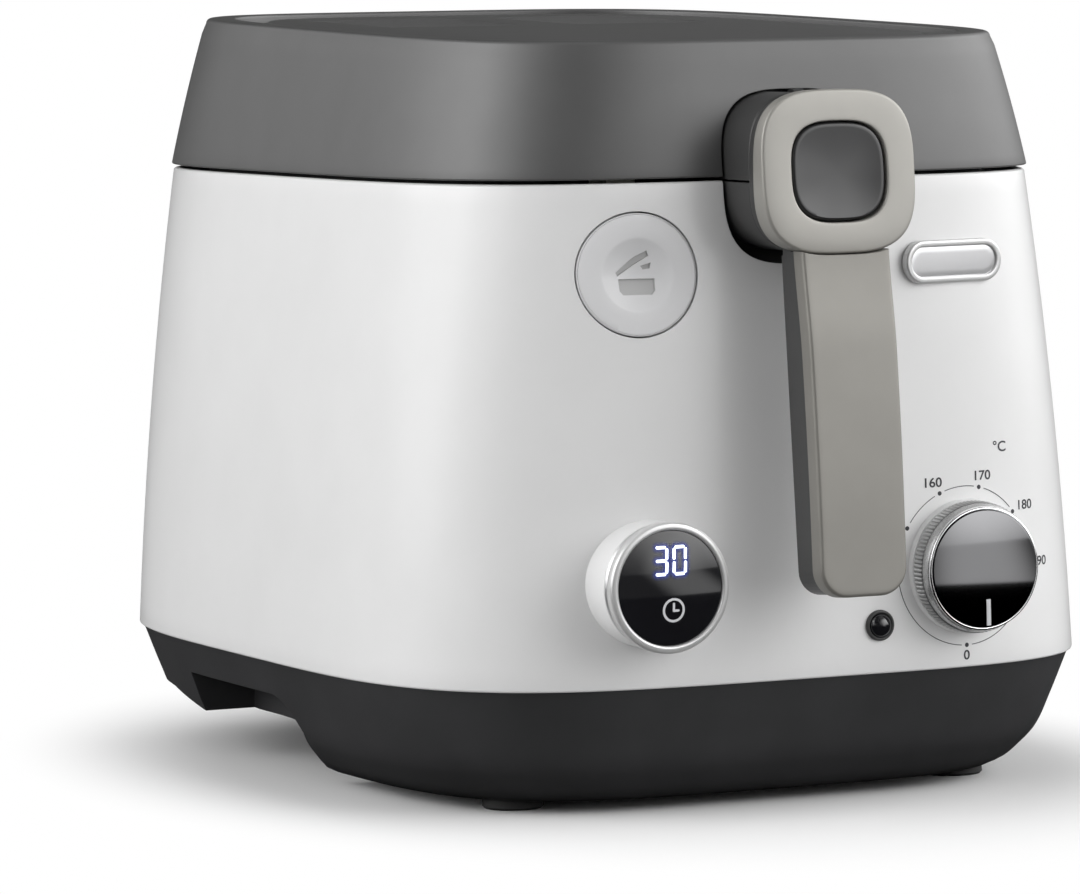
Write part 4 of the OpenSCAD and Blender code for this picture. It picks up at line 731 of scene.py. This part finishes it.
def make_knob():
    face = WALL_AT_KNOB - KNOB_H
    base = front_y(KNOB_X - KNOB_D / 2, KNOB_Z) - 0.6
    r = KNOB_D / 2
    ribs, per_rib, rows = 96, 6, 30
    bm = bmesh.new()
    rings = []
    y0, y1 = face + 6.6, base - 2.6
    for k in range(rows + 1):
        y = y0 + (y1 - y0) * k / rows
        ring = []
        for t in turns(ribs * per_rib):
            wave = cos(ribs * t) * 0.5 + 0.5
            row_wave = cos(2 * pi * k / 5) * 0.5 + 0.5
            fade = min(1, k / 2, (rows - k) / 2)
            ridge = 0.95 * fade * (1 - (1 - wave) * (0.25 + 0.75 * row_wave))
            radius = r - 0.95 + ridge - 0.5 * (1 - k / rows)
            ring.append(p(KNOB_X + radius * cos(t), y, KNOB_Z + radius * sin(t)))
        rings.append(ring)
    add_loft(bm, rings)
    seat(finish_mesh("knob_skirt", bm, knurled, 80), "knob", ["thermostat_knob"])

    band = turned("knob_band", [(face + 7.0, r - 1.6), (face + 6.8, r - 1.0), (face + 6.3, r - 0.9),
                                (face + 4.0, r - 1.7), (face + 3.5, r - 1.95), (face + 3.4, r - 2.5),
                                (face + 3.4, 12)], KNOB_X, KNOB_Z, knob_satin)
    seat(band, "knob")
    ring = turned("knob_chrome_ring", [(face + 3.9, r - 2.2), (face + 2.9, r - 2.05), (face + 2.2, r - 2.25),
                                       (face + 1.9, r - 2.7), (face + 2.0, r - 3.2), (face + 2.6, r - 3.55),
                                       (face + 3.6, r - 3.6)], KNOB_X, KNOB_Z, chrome, angle=60)
    seat(ring, "knob", ["knob_ring"])

    dome_r, crown = r - 3.6, 1.4
    sphere = sphere_under(dome_r, crown)
    profile = [(face + sphere - sqrt(sphere ** 2 - radius ** 2), radius)
               for radius in [dome_r * sin(t) for t in quarter(20)[1:]]]
    profile += [(face + crown + 0.5, dome_r), (face + crown + 1.5, dome_r)]
    dome = turned("knob_dome", [(face, 0.3)] + profile, KNOB_X, KNOB_Z, black_chrome)
    seat(dome, "knob", ["knob_cap"])

    bm = bmesh.new()
    half, top, bottom, steps, turn = 0.95, -12.8, -dome_r + 0.5, 14, radians(3.5)
    front = []
    for k in range(steps + 1):
        z = top + (bottom - top) * k / steps
        y = face + sphere - sqrt(sphere ** 2 - z ** 2)
        front.append((y, z))
    loops = [[p(KNOB_X + x * cos(turn) - z * sin(turn), y + lift,
                KNOB_Z + z * cos(turn) + x * sin(turn))
              for x, lift in ((-half, 0.2), (-half, -0.25), (half, -0.25), (half, 0.2))]
             for y, z in front]
    add_loft(bm, loops)
    seat(finish_mesh("knob_pointer", bm, silver_ink), "knob")

    pad = turned("knob_pad", [(base - 2.5, 8), (base - 2.5, r - 0.8), (base - 2.3, r),
                              (base - 1.8, r + 0.3), (base + 16, r + 0.4)], KNOB_X, KNOB_Z, white)
    seat(pad, "housing")


# Segments of a seven-segment digit as (x0, z0, x1, z1), in units of its half width and half height
SEGMENTS = {"top": (-1, 1, 1, 1), "middle": (-1, 0, 1, 0), "bottom": (-1, -1, 1, -1),
            "upper_left": (-1, 1, -1, 0), "lower_left": (-1, 0, -1, -1),
            "upper_right": (1, 1, 1, 0), "lower_right": (1, 0, 1, -1)}
DIGITS = {"3": ["top", "middle", "bottom", "upper_right", "lower_right"],
          "0": ["top", "bottom", "upper_left", "lower_left", "upper_right", "lower_right"]}


def capsule(x0, z0, x1, z1, r, count=12):
    """Outline of a round-ended bar."""
    lean = atan2(z1 - z0, x1 - x0)
    ends = []
    for (x, z), start in (((x1, z1), lean - pi / 2), ((x0, z0), lean + pi / 2)):
        ends += [(x + r * cos(t), z + r * sin(t))
                 for t in [start + pi * i / count for i in range(count + 1)]]
    return ends


def add_plate(bm, outline, y_at, thick):
    """A thin plate whose front lies on y_at(x, z)."""
    front = [bm.verts.new(p(x, y_at(x, z) - thick, z)) for x, z in outline]
    back = [bm.verts.new(p(x, y_at(x, z) + 0.05, z)) for x, z in outline]
    bm.faces.new(front)
    bm.faces.new(list(reversed(back)))
    for i in range(len(front)):
        j = (i + 1) % len(front)
        bm.faces.new((front[i], back[i], back[j], front[j]))


def add_halo(bm, layer, spine, y_at, grow):
    """A glow round a bar that fades from 1 on its middle to 0 at its outline."""
    loops = []
    for r, value in ((0.02, 1.0), (grow * 0.5, 0.55), (grow, 0.0)):
        loops.append([bm.verts.new(p(x, y_at(x, z), z)) for x, z in capsule(*spine, r)])
        for v in loops[-1]:
            v[layer] = value
    for a, b in zip(loops, loops[1:]):
        for i in range(len(a)):
            j = (i + 1) % len(a)
            bm.faces.new((a[i], a[j], b[j], b[i]))


def make_timer():
    face = WALL_AT_DIAL - TIMER_H
    cx, cz = -DIAL_X, DIAL_Z
    wall = front_y(cx - 29, cz) + 4
    r = TIMER_D / 2
    collar = turned("timer_collar", [(wall, r - 0.2), (face + 9.8, r - 0.3)]
                    + [(face + 9.2 + back, r - 0.3 - inset) for inset, back in reversed(fillet(0.8))][1:]
                    + [(face + 9.2, 10)], cx, cz, white)
    seat(collar, "housing", ["timer_bezel"])
    step = turned("timer_step", [(face + 15, r - 0.5), (face + 7.4, r - 0.5), (face + 6.9, r - 0.8),
                                 (face + 6.9, r - 1.2), (face + 6.9, 10)], cx, cz, plaque)
    seat(step, "housing")
    # Painted shade: a near-black lining in the groove between the timer's ring and its step
    groove = turned("timer_groove_shade", [(face + 8, r - 0.7), (face + 4, r - 0.7), (face + 4, 10)], cx, cz,
                    black_and_gap_shade)
    seat(groove, "housing")
    glass_r = r - 3.0
    rim = [(face + 5.8, r - 1.2), (face + 5.8, r + 0.2), (face + 5.4, r + 0.45), (face + 2.6, r + 0.4)]
    rim += [(face + 1.0 + 1.4 * (1 - sin(t)), r - 0.8 + 1.2 * cos(t))
            for t in (0.3, 0.6, 0.9, 1.2, 1.5)]
    rim += [(face + 0.75, r - 1.6), (face + 0.9, glass_r + 0.7), (face + 1.25, glass_r + 0.3),
            (face + 4, glass_r + 0.2)]
    ring = turned("timer_chrome_ring", rim, cx, cz, ring_satin, angle=50, caps=(True, False))
    seat(ring, "housing", ["timer_ring"])
    sphere = sphere_under(glass_r, 2.2)

    def glass_y(radius):
        return face - 0.3 + sphere - sqrt(sphere ** 2 - radius ** 2)

    def on_glass(x, z):
        return glass_y(hypot(x - cx, z - cz))

    profile = [(glass_y(radius), radius) for radius in [glass_r * sin(t) for t in quarter(16)[1:]]]
    glass = turned("timer_glass", [(glass_y(0), 0.3)] + profile + [(face + 4.6, glass_r)], cx, cz,
                   piano_black)
    seat(glass, "timer_face", ["timer_face"])

    half_w, half_h, lean = 2.6, 5.45, 0.05
    bm, halo = bmesh.new(), bmesh.new()
    layer = halo.verts.layers.float.new("fade")
    display_x, display_z, pitch = cx - 0.6, cz + 11.4, 8.5
    for digit, dx in (("3", -pitch / 2), ("0", pitch / 2)):
        for segment in DIGITS[digit]:
            x0, z0, x1, z1 = [v * half for v, half in zip(SEGMENTS[segment], (half_w, half_h) * 2)]
            along = Vector((x1 - x0, z1 - z0)).normalized() * 0.95
            spine = (display_x + dx + x0 + along.x + lean * z0, display_z + z0 + along.y,
                     display_x + dx + x1 - along.x + lean * z1, display_z + z1 - along.y)
            add_plate(bm, capsule(*spine, 0.60), lambda x, z: on_glass(x, z) - 0.16, 0.06)
            # Each halo lies a little in front of the last, so that they don't share a plane
            lift = 0.07 + len(halo.verts) * 1e-5
            add_halo(halo, layer, spine, lambda x, z, lift=lift: on_glass(x, z) - lift, 3.0)
    seat(finish_mesh("timer_digits", bm, display), "timer_face")
    seat(finish_mesh("timer_digits_halo", halo, display_halo), "timer_face")

    bm = bmesh.new()
    icon_x, icon_z, icon_r, line = cx + 0.6, cz - 8.9, 4.5, 0.5
    rings = []
    for back, grow in ((0.1, -line), (-0.1, -line), (-0.1, line), (0.1, line)):
        spots = round_spots(icon_x, icon_z, icon_r + grow, 64)
        rings.append([p(x, on_glass(x, z) + back, z) for x, z in spots])
    add_loft(bm, rings, closed=True)
    hub_z = icon_z - 0.2
    for bar in ((icon_x, hub_z, icon_x, icon_z + 2.6), (icon_x, hub_z, icon_x + 2.1, hub_z)):
        add_plate(bm, capsule(*bar, line), lambda x, z: on_glass(x, z) - 0.04, 0.06)
    seat(finish_mesh("timer_clock_icon", bm, silver_ink), "timer_face")


def make_release():
    r = RELEASE_D / 2
    dish_r, dish_deep = 15.2, 4.0
    cx, cz = -DIAL_X, RELEASE_Z
    sphere = sphere_under(dish_r, dish_deep)

    def face_y(radius):
        if radius >= dish_r:
            return 0.0
        depth = sqrt(sphere ** 2 - radius ** 2) - (sphere - dish_deep)
        return depth if radius < dish_r - 1.2 else depth * 0.9

    def ring(radius, back):
        return [p(x, front_y(x, z) + back + 0.05, z) for x, z in round_spots(cx, cz, radius, 160)]

    radii = [0.3] + [dish_r * k / 16 for k in range(1, 16)] + [dish_r - 0.3, dish_r + 0.4, 19, 22, r - 0.9]
    rings = [ring(radius, face_y(radius)) for radius in radii]
    rings += [ring(r - inset, back) for inset, back in fillet(0.75, 5)[::-1][1:] + [(0, 4.5)]]
    button = loft("release_button_skin", rings, button_white, angle=30)
    # Open-lid icon, sunk 0.9 mm into the dish, with painted shade in grey on its cut faces
    lid_bar = [(-8.5, 0.9), (-7.7, -0.6), (5.5, 7.6), (4.6, 9.8), (-0.8, 7.0)]
    hook = [(2.4, 3.4), (6.6, 4.8), (6.2, 2.4), (3.4, 2.0)]
    pan = [(-7.4, -1.8), (8.0, -1.8), (7.8, -6.6), (6.4, -8.3), (-5.8, -8.3), (-7.2, -6.6)]
    tools, deep, near = [], 0.9, 16
    wall = front_y(cx, cz)
    for outline in (lid_bar, hook, pan):
        tool = loft("icon", [[p(cx + x, y, cz + z) for x, z in outline] for y in (-240, -190)], icon_painted_shade)
        bm = bmesh.new()
        bmesh.ops.create_icosphere(bm, subdivisions=5, radius=(sphere + deep) * MM,
                                   matrix=Matrix.Translation(p(cx, wall + dish_deep - sphere, cz)))
        # The ball follows the wall's curve
        for v in bm.verts:
            x, z = [max(-near, min(near, at)) for at in (v.co.x / MM - cx, v.co.z / MM - cz)]
            v.co.y += (front_y(cx + x, cz + z) - wall) * MM
        cut(tool, finish_mesh("ball", bm, icon_painted_shade), operation="INTERSECT")
        tools.append(tool)
    cut(button, *tools, angle=30, keep_tone=True)
    seat(button, "release_button", ["release_button"])


def stadium(w, h, grow):
    half = (w - h) / 2
    return capsule(-half, 0, half, 0, h / 2 + grow, count=20)


def make_badge():
    """A bare plaque with a raised rim, set square on the wall where it stands."""
    z0 = RELEASE_Z + 1
    y0 = front_y(BADGE_X, z0)
    left, right = [front_y(BADGE_X + s * BADGE_W / 2, z0) for s in (-1, 1)]
    turn = atan((right - left) / BADGE_W)

    def ring(depth, grow):
        return [p(BADGE_X + x * cos(turn) - depth * sin(turn),
                  y0 + x * sin(turn) + depth * cos(turn), z0 + z)
                for x, z in stadium(BADGE_W, BADGE_H, grow)]

    rim = [ring(0.9, 0)] + [ring(back - 2.4, -inset) for inset, back in reversed(fillet(0.9))]
    rim += [ring(-2.45, -1.4)] + [ring(back - 2.4, -2.8 + inset) for inset, back in fillet(0.7)]
    rim += [ring(-1.0, -2.8), ring(0.9, -2.8)]
    seat(loft("badge_rim", rim, ring_satin, closed=True), "housing", ["badge_plate"])
    field = [ring(0.5, -2.6), ring(-1.35, -2.6), ring(-1.5, -3.4), ring(-1.55, -5.5)]
    seat(loft("badge_field", field, plaque), "housing")


def make_lamp():
    y = front_y(LAMP_X, LAMP_Z)
    r = LAMP_D / 2
    rim = [(y + 1.6, r), (y - 0.9, r)]
    rim += [(y - 1.6 + back, r - inset) for inset, back in reversed(fillet(0.7))][1:]
    rim += [(y - 1.5, r - 1.2), (y - 0.8, r - 1.5), (y + 1.5, r - 1.5)]
    bezel = turned("lamp_bezel_skin", rim, LAMP_X, LAMP_Z, dark_satin, caps=(True, False))
    seat(bezel, "housing", ["lamp_bezel"])
    lens_r = r - 1.4
    profile = [(y - 0.4 - 4.0 * cos(t), lens_r * sin(t)) for t in quarter(14)[1:]]
    lens = turned("pilot_lens", [(y - 4.4, 0.1)] + profile + [(y + 1.5, lens_r)], LAMP_X, LAMP_Z,
                  piano_black, count=96, angle=60)
    seat(lens, "housing", ["pilot_lamp"])


# ---------- prints round the dial ----------
DIAL_MARKS = {"0": 270, "150": 149, "160": 112, "170": 77, "180": 39, "190": 2}
DIAL_RING = 33.5
PRINT_LIFT = 0.08
LABEL_SHIFT = {"160": (-0.9, -2.1), "170": (0.1, -1.9), "180": (0.9, -2.8), "190": (0.2, -2.8),
               "0": (-0.1, 0.6)}


def make_prints():
    bm = bmesh.new()
    for angle in DIAL_MARKS.values():
        t = radians(angle)
        dot = (KNOB_X + DIAL_RING * cos(t), KNOB_Z + DIAL_RING * sin(t))
        add_plate(bm, round_spots(*dot, 0.95, 20), front_y, PRINT_LIFT)
    stops = sorted(v if v < 200 else v - 360 for v in DIAL_MARKS.values())
    arcs = list(zip(stops, stops[1:])) + [(stops[-1], stops[0] + 360)]
    clear, half = 4.5, 0.16
    for a0, a1 in arcs:
        steps = 28
        turn = [radians(a0 + clear + (a1 - a0 - 2 * clear) * i / steps) for i in range(steps + 1)]
        edges = [(DIAL_RING + side, lift) for side, lift in
                 ((-half, 0.0), (-half, PRINT_LIFT), (half, PRINT_LIFT), (half, 0.0))]
        loops = []
        for t in turn:
            spots = [(KNOB_X + r * cos(t), KNOB_Z + r * sin(t), lift) for r, lift in edges]
            loops.append([p(x, front_y(x, z) - lift, z) for x, z, lift in spots])
        add_loft(bm, loops)
    seat(finish_mesh("dial_scale", bm, ink), "housing")

    for text, angle in DIAL_MARKS.items():
        t = radians(angle)
        reach = DIAL_RING + (5.0 if text == "0" else 6.2 + 2.4 * abs(cos(t)))
        right, up = LABEL_SHIFT.get(text, (0, 0))
        wall_text(f"dial_{text}", text, KNOB_X + reach * cos(t) + right,
                  KNOB_Z + reach * sin(t) + up, 5.6)
    wall_text("dial_degree", "°C", 94.3, 146.2, 6.1)


def wall_text(name, text, x, z, size):
    """Generic print, wrapped on the housing's front wall."""
    curve = bpy.data.curves.new(name, "FONT")
    curve.body, curve.size = text, size
    curve.align_x, curve.align_y = "CENTER", "CENTER"
    curve.offset, curve.extrude = 0.09, 0.0
    obj = place_object(name, curve)
    bpy.context.view_layer.update()
    mesh = bpy.data.meshes.new_from_object(obj.evaluated_get(bpy.context.evaluated_depsgraph_get()))
    bpy.data.objects.remove(obj)
    widened = 1.15
    for v in mesh.vertices:
        px, pz = x + v.co.x * widened, z + v.co.y
        v.co = p(px, front_y(px, pz) - PRINT_LIFT, pz)
    mesh.materials.clear()
    mesh.materials.append(ink)
    seat(place_object(name, mesh), "housing")


# ---------- bowl and basket ----------
BOWL_A, BOWL_B, BOWL_RIM, BOWL_FLOOR, BOWL_T, BOWL_TAPER = 127.0, 172.0, 222.0, 86.0, 2.0, 10.0
BASKET_GAP, BASKET_RIM, BASKET_H = 6.0, 236.0, 128.0


def make_bowl():
    def wall(z, inset):
        k = (z - BOWL_FLOOR) / (BOWL_RIM - BOWL_FLOOR)
        a = BOWL_A - BOWL_TAPER * (1 - k) - inset
        return level(z, a, a + BOWL_B - BOWL_A, 4.0)

    def floor_rings(lift, inset):
        r = 16.0
        return [wall(BOWL_FLOOR + lift + r * (1 - cos(t)), inset + r * (1 - sin(t)))
                for t in quarter(8)]

    flange = 14.0
    rings = floor_rings(0, 0) + [wall(z, 0) for z in (130, 170, BOWL_RIM - 3)]
    rings += [wall(BOWL_RIM - 2, -flange), wall(BOWL_RIM, -flange), wall(BOWL_RIM, -2.0),
              wall(BOWL_RIM - 0.7, 0.8), wall(BOWL_RIM - 3, BOWL_T)]
    rings += [wall(z, BOWL_T) for z in (170, 130)] + list(reversed(floor_rings(BOWL_T, BOWL_T)))
    bowl = loft("bowl_skin", rings, coating)
    cut(bowl, box("release_bay", (-DIAL_X - 31.5, -230, BOWL_RIM - 12),
                  (-DIAL_X + 31.5, -BOWL_B - 3, BOWL_RIM + 5), white))
    seat(bowl, "housing", ["bowl"])


def make_basket():
    a = BOWL_A - BOWL_TAPER - BASKET_GAP
    b = BOWL_B - BOWL_TAPER - BASKET_GAP
    wire, rim_wire, corner, low = 0.7, 1.8, 14.0, BASKET_RIM - BASKET_H

    def wire_curve(name, radius, resolution, lines):
        """One object of round wires; lines is a list of (points, cyclic)."""
        curve = bpy.data.curves.new(name, "CURVE")
        curve.dimensions, curve.bevel_depth, curve.bevel_resolution = "3D", radius * MM, resolution
        for points, cyclic in lines:
            spline = curve.splines.new("POLY")
            spline.points.add(len(points) - 1)
            for point, place in zip(spline.points, points):
                point.co = (*place, 1)
            spline.use_cyclic_u = cyclic
        curve.materials.append(plated_wire)
        return place_object(name, curve)

    def shrink(z):
        """Inset of the basket's wall, which rounds into its floor."""
        up = z - low
        return corner - sqrt(corner * corner - (corner - up) ** 2) if up < corner else 0.0

    heights = [low + 6 + (BASKET_H - 12) * k / 13 for k in range(14)]
    lines = [(level(z, a - wire - shrink(z), b - wire - shrink(z), 4.0, count=96), True) for z in heights]

    def hoop(x=None, y=None):
        """A U-shaped wire down one wall, over the floor and up the other."""
        half = (b * (1 - abs(x / a) ** 4) ** 0.25) if x is not None else (a * (1 - abs(y / b) ** 4) ** 0.25)
        half -= 2.2 * wire
        down = [(half, BASKET_RIM - 2)]
        down += [(half - corner + corner * cos(t), low + corner - corner * sin(t))
                 for t in quarter(6)]
        across = down + [(-h, z) for h, z in reversed(down)]
        return [p(x, h, z) if x is not None else p(h, y, z) for h, z in across]

    spacing = 9.0
    lines += [(hoop(x=i * spacing), False) for i in range(-11, 12)]
    lines += [(hoop(y=i * spacing), False) for i in range(-16, 17)]
    seat(wire_curve("basket_wires", wire, 1, lines), "basket", ["basket_mesh"])
    rim = level(BASKET_RIM - rim_wire, a - 0.4, b - 0.4, 4.0, count=128)
    seat(wire_curve("basket_rim_wire", rim_wire, 4, [(rim, True)]), "basket", ["basket_rim"])


make_body()
make_base()
make_lid()
make_cover()
make_hub()
make_pocket_gap_shade()
make_head()
make_button()
make_arm()
make_knob()
make_timer()
make_release()
make_badge()
make_lamp()
make_prints()
make_bowl()
make_basket()


# ---------- floor, light and camera ----------
def towards(azimuth, elevation):
    """Unit direction; azimuth 0 is in front and -90 the left side."""
    az, el = radians(azimuth), radians(elevation)
    return (sin(az) * cos(el), -cos(az) * cos(el), sin(el))


def make_world():
    """A white studio: soft lobes of light round the object and a low glow in front, in dim air.
    The camera sees plain white. A lobe is full inside spread degrees and gone soft degrees further."""
    world = bpy.data.worlds.new("studio")
    bpy.context.scene.world = world
    world.use_nodes = True
    tree = world.node_tree
    tree.nodes.clear()
    direction = add_node(tree, "TexCoord").outputs["Generated"]
    total = None
    for azimuth, elevation, spread, soft, strength in PANELS + [(GLOW_AZIMUTH, -3, 1, GLOW_SOFT, GLOW)]:
        dot = add_node(tree, "VectorMath", direction, towards(azimuth, elevation), operation="DOT_PRODUCT")
        light = add_node(tree, "MapRange", dot.outputs["Value"], cos(radians(spread + soft)),
                         cos(radians(spread)), 0.0, strength,
                         interpolation_type="SMOOTHSTEP").outputs["Result"]
        total = light if total is None else add_node(tree, "Math", total, light).outputs[0]
    base = add_node(tree, "Math", total, AIR)
    lit = add_node(tree, "Background", sockets={"Strength": base.outputs[0]})
    plain = add_node(tree, "Background", (1, 1, 1, 1))
    path = add_node(tree, "LightPath")
    mix = add_node(tree, "MixShader", path.outputs["Is Camera Ray"], lit.outputs[0], plain.outputs[0])
    add_node(tree, "OutputWorld", mix.outputs[0])


# Azimuth, elevation, spread, soft edge and strength of each lobe
PANELS = [(-90, 55, 4, 34, 0.97), (45, 55, 4, 34, 0.54), (-150, 22, 3, 27, 1.05), (-115, 22, 3, 27, 3.65),
          (-90, 22, 3, 27, 2.32), (-67, 22, 3, 27, 0.83), (-45, 22, 3, 27, 0.23), (15, 22, 3, 27, 0.99),
          (35, 22, 3, 27, 2.28), (55, 22, 3, 27, 2.40), (75, 22, 3, 27, 2.03), (95, 22, 3, 27, 2.45),
          (120, 22, 3, 27, 1.07)]
AIR = 0.02
FLOOR_SEEN, FLOOR_BOUNCE = 0.92, 0.40
# Metres from the middle between which the floor gains light for gloss
FLAG_EDGE = (0.80, 0.83)
# Metres from the middle between which the seen floor turns to plain white, and its oval's shape
WHITE_EDGE, WHITE_OVAL = (0.20, 0.32), (1.25, 0.85, 0)
# Azimuth of the soft glow that gloss sees low in front, and the degrees over which it fades
GLOW_AZIMUTH, GLOW_SOFT, GLOW = 27.0, 15.0, 1.2


def make_floor():
    """Pale floor that the camera sees near white. It gives little light back to the object, and gloss
    sees it black near the object and dim further out, apart from the glow."""
    bpy.ops.mesh.primitive_plane_add(size=40, location=(0, 0, 0))
    floor = bpy.context.object
    floor.name = "floor"
    material, tree, shader = new_material("floor_white", {
        "Base Color": (FLOOR_SEEN,) * 3 + (1,), "Roughness": 0.9, "Specular IOR Level": 0.1})
    place = add_node(tree, "TexCoord").outputs["Object"]

    def vector(operation, *feeds, output="Value"):
        return add_node(tree, "VectorMath", *feeds, operation=operation).outputs[output]

    def grow(*feeds):
        return add_node(tree, "MapRange", *feeds, interpolation_type="SMOOTHSTEP").outputs["Result"]

    def blend(*feeds):
        return add_node(tree, "MixShader", *feeds).outputs[0]

    nearness = vector("LENGTH", vector("MULTIPLY", place, WHITE_OVAL, output="Vector"))
    distance = vector("LENGTH", place)
    facing = vector("DOT_PRODUCT", vector("NORMALIZE", place, output="Vector"), towards(GLOW_AZIMUTH, 0))
    path = add_node(tree, "LightPath")
    bounce = add_node(tree, "BsdfDiffuse", (FLOOR_BOUNCE,) * 3 + (1,))
    plain = add_node(tree, "Emission")
    fading = blend(grow(nearness, *WHITE_EDGE, 0.0, 1.0), shader.outputs[0], plain.outputs[0])
    seen = blend(path.outputs["Is Camera Ray"], bounce.outputs[0], fading)
    flag = add_node(tree, "Math", grow(distance, *FLAG_EDGE, 0.0, 1.0),
                    grow(facing, cos(radians(GLOW_SOFT)), 1.0, 0.1, GLOW), operation="MULTIPLY")
    glowing = add_node(tree, "Emission", sockets={"Strength": flag.outputs[0]})
    feed(tree, tree.nodes["Material Output"].inputs["Surface"],
         blend(path.outputs["Is Glossy Ray"], seen, glowing.outputs[0]))
    floor.data.materials.append(material)


# Camera place in the housing's millimetres, its direction, roll and lens
CAMERA_PLACE = (-1162.5, -2427.3, 350.3)
CAMERA_AZIMUTH, CAMERA_ELEVATION, CAMERA_ROLL = -25.12, 4.52, -0.82
CAMERA_LENS, CAMERA_SENSOR = 202.1, 36.0


def make_camera():
    data = bpy.data.cameras.new("camera")
    camera = place_object("camera", data)
    roll = radians(CAMERA_ROLL)
    back = Vector(towards(CAMERA_AZIMUTH, CAMERA_ELEVATION))
    right = Vector((0, 0, 1)).cross(back).normalized()
    up = back.cross(right)
    x_axis = right * cos(roll) + up * sin(roll)
    y_axis = up * cos(roll) - right * sin(roll)
    matrix = Matrix((x_axis, y_axis, back)).transposed().to_4x4()
    matrix.translation = p(*CAMERA_PLACE)
    camera.matrix_world = matrix
    data.lens, data.sensor_width = CAMERA_LENS, CAMERA_SENSOR
    data.clip_start, data.clip_end = 0.05, 60
    bpy.context.scene.camera = camera


make_world()
make_floor()
make_camera()
bpy.context.scene.view_settings.view_transform = "Standard"
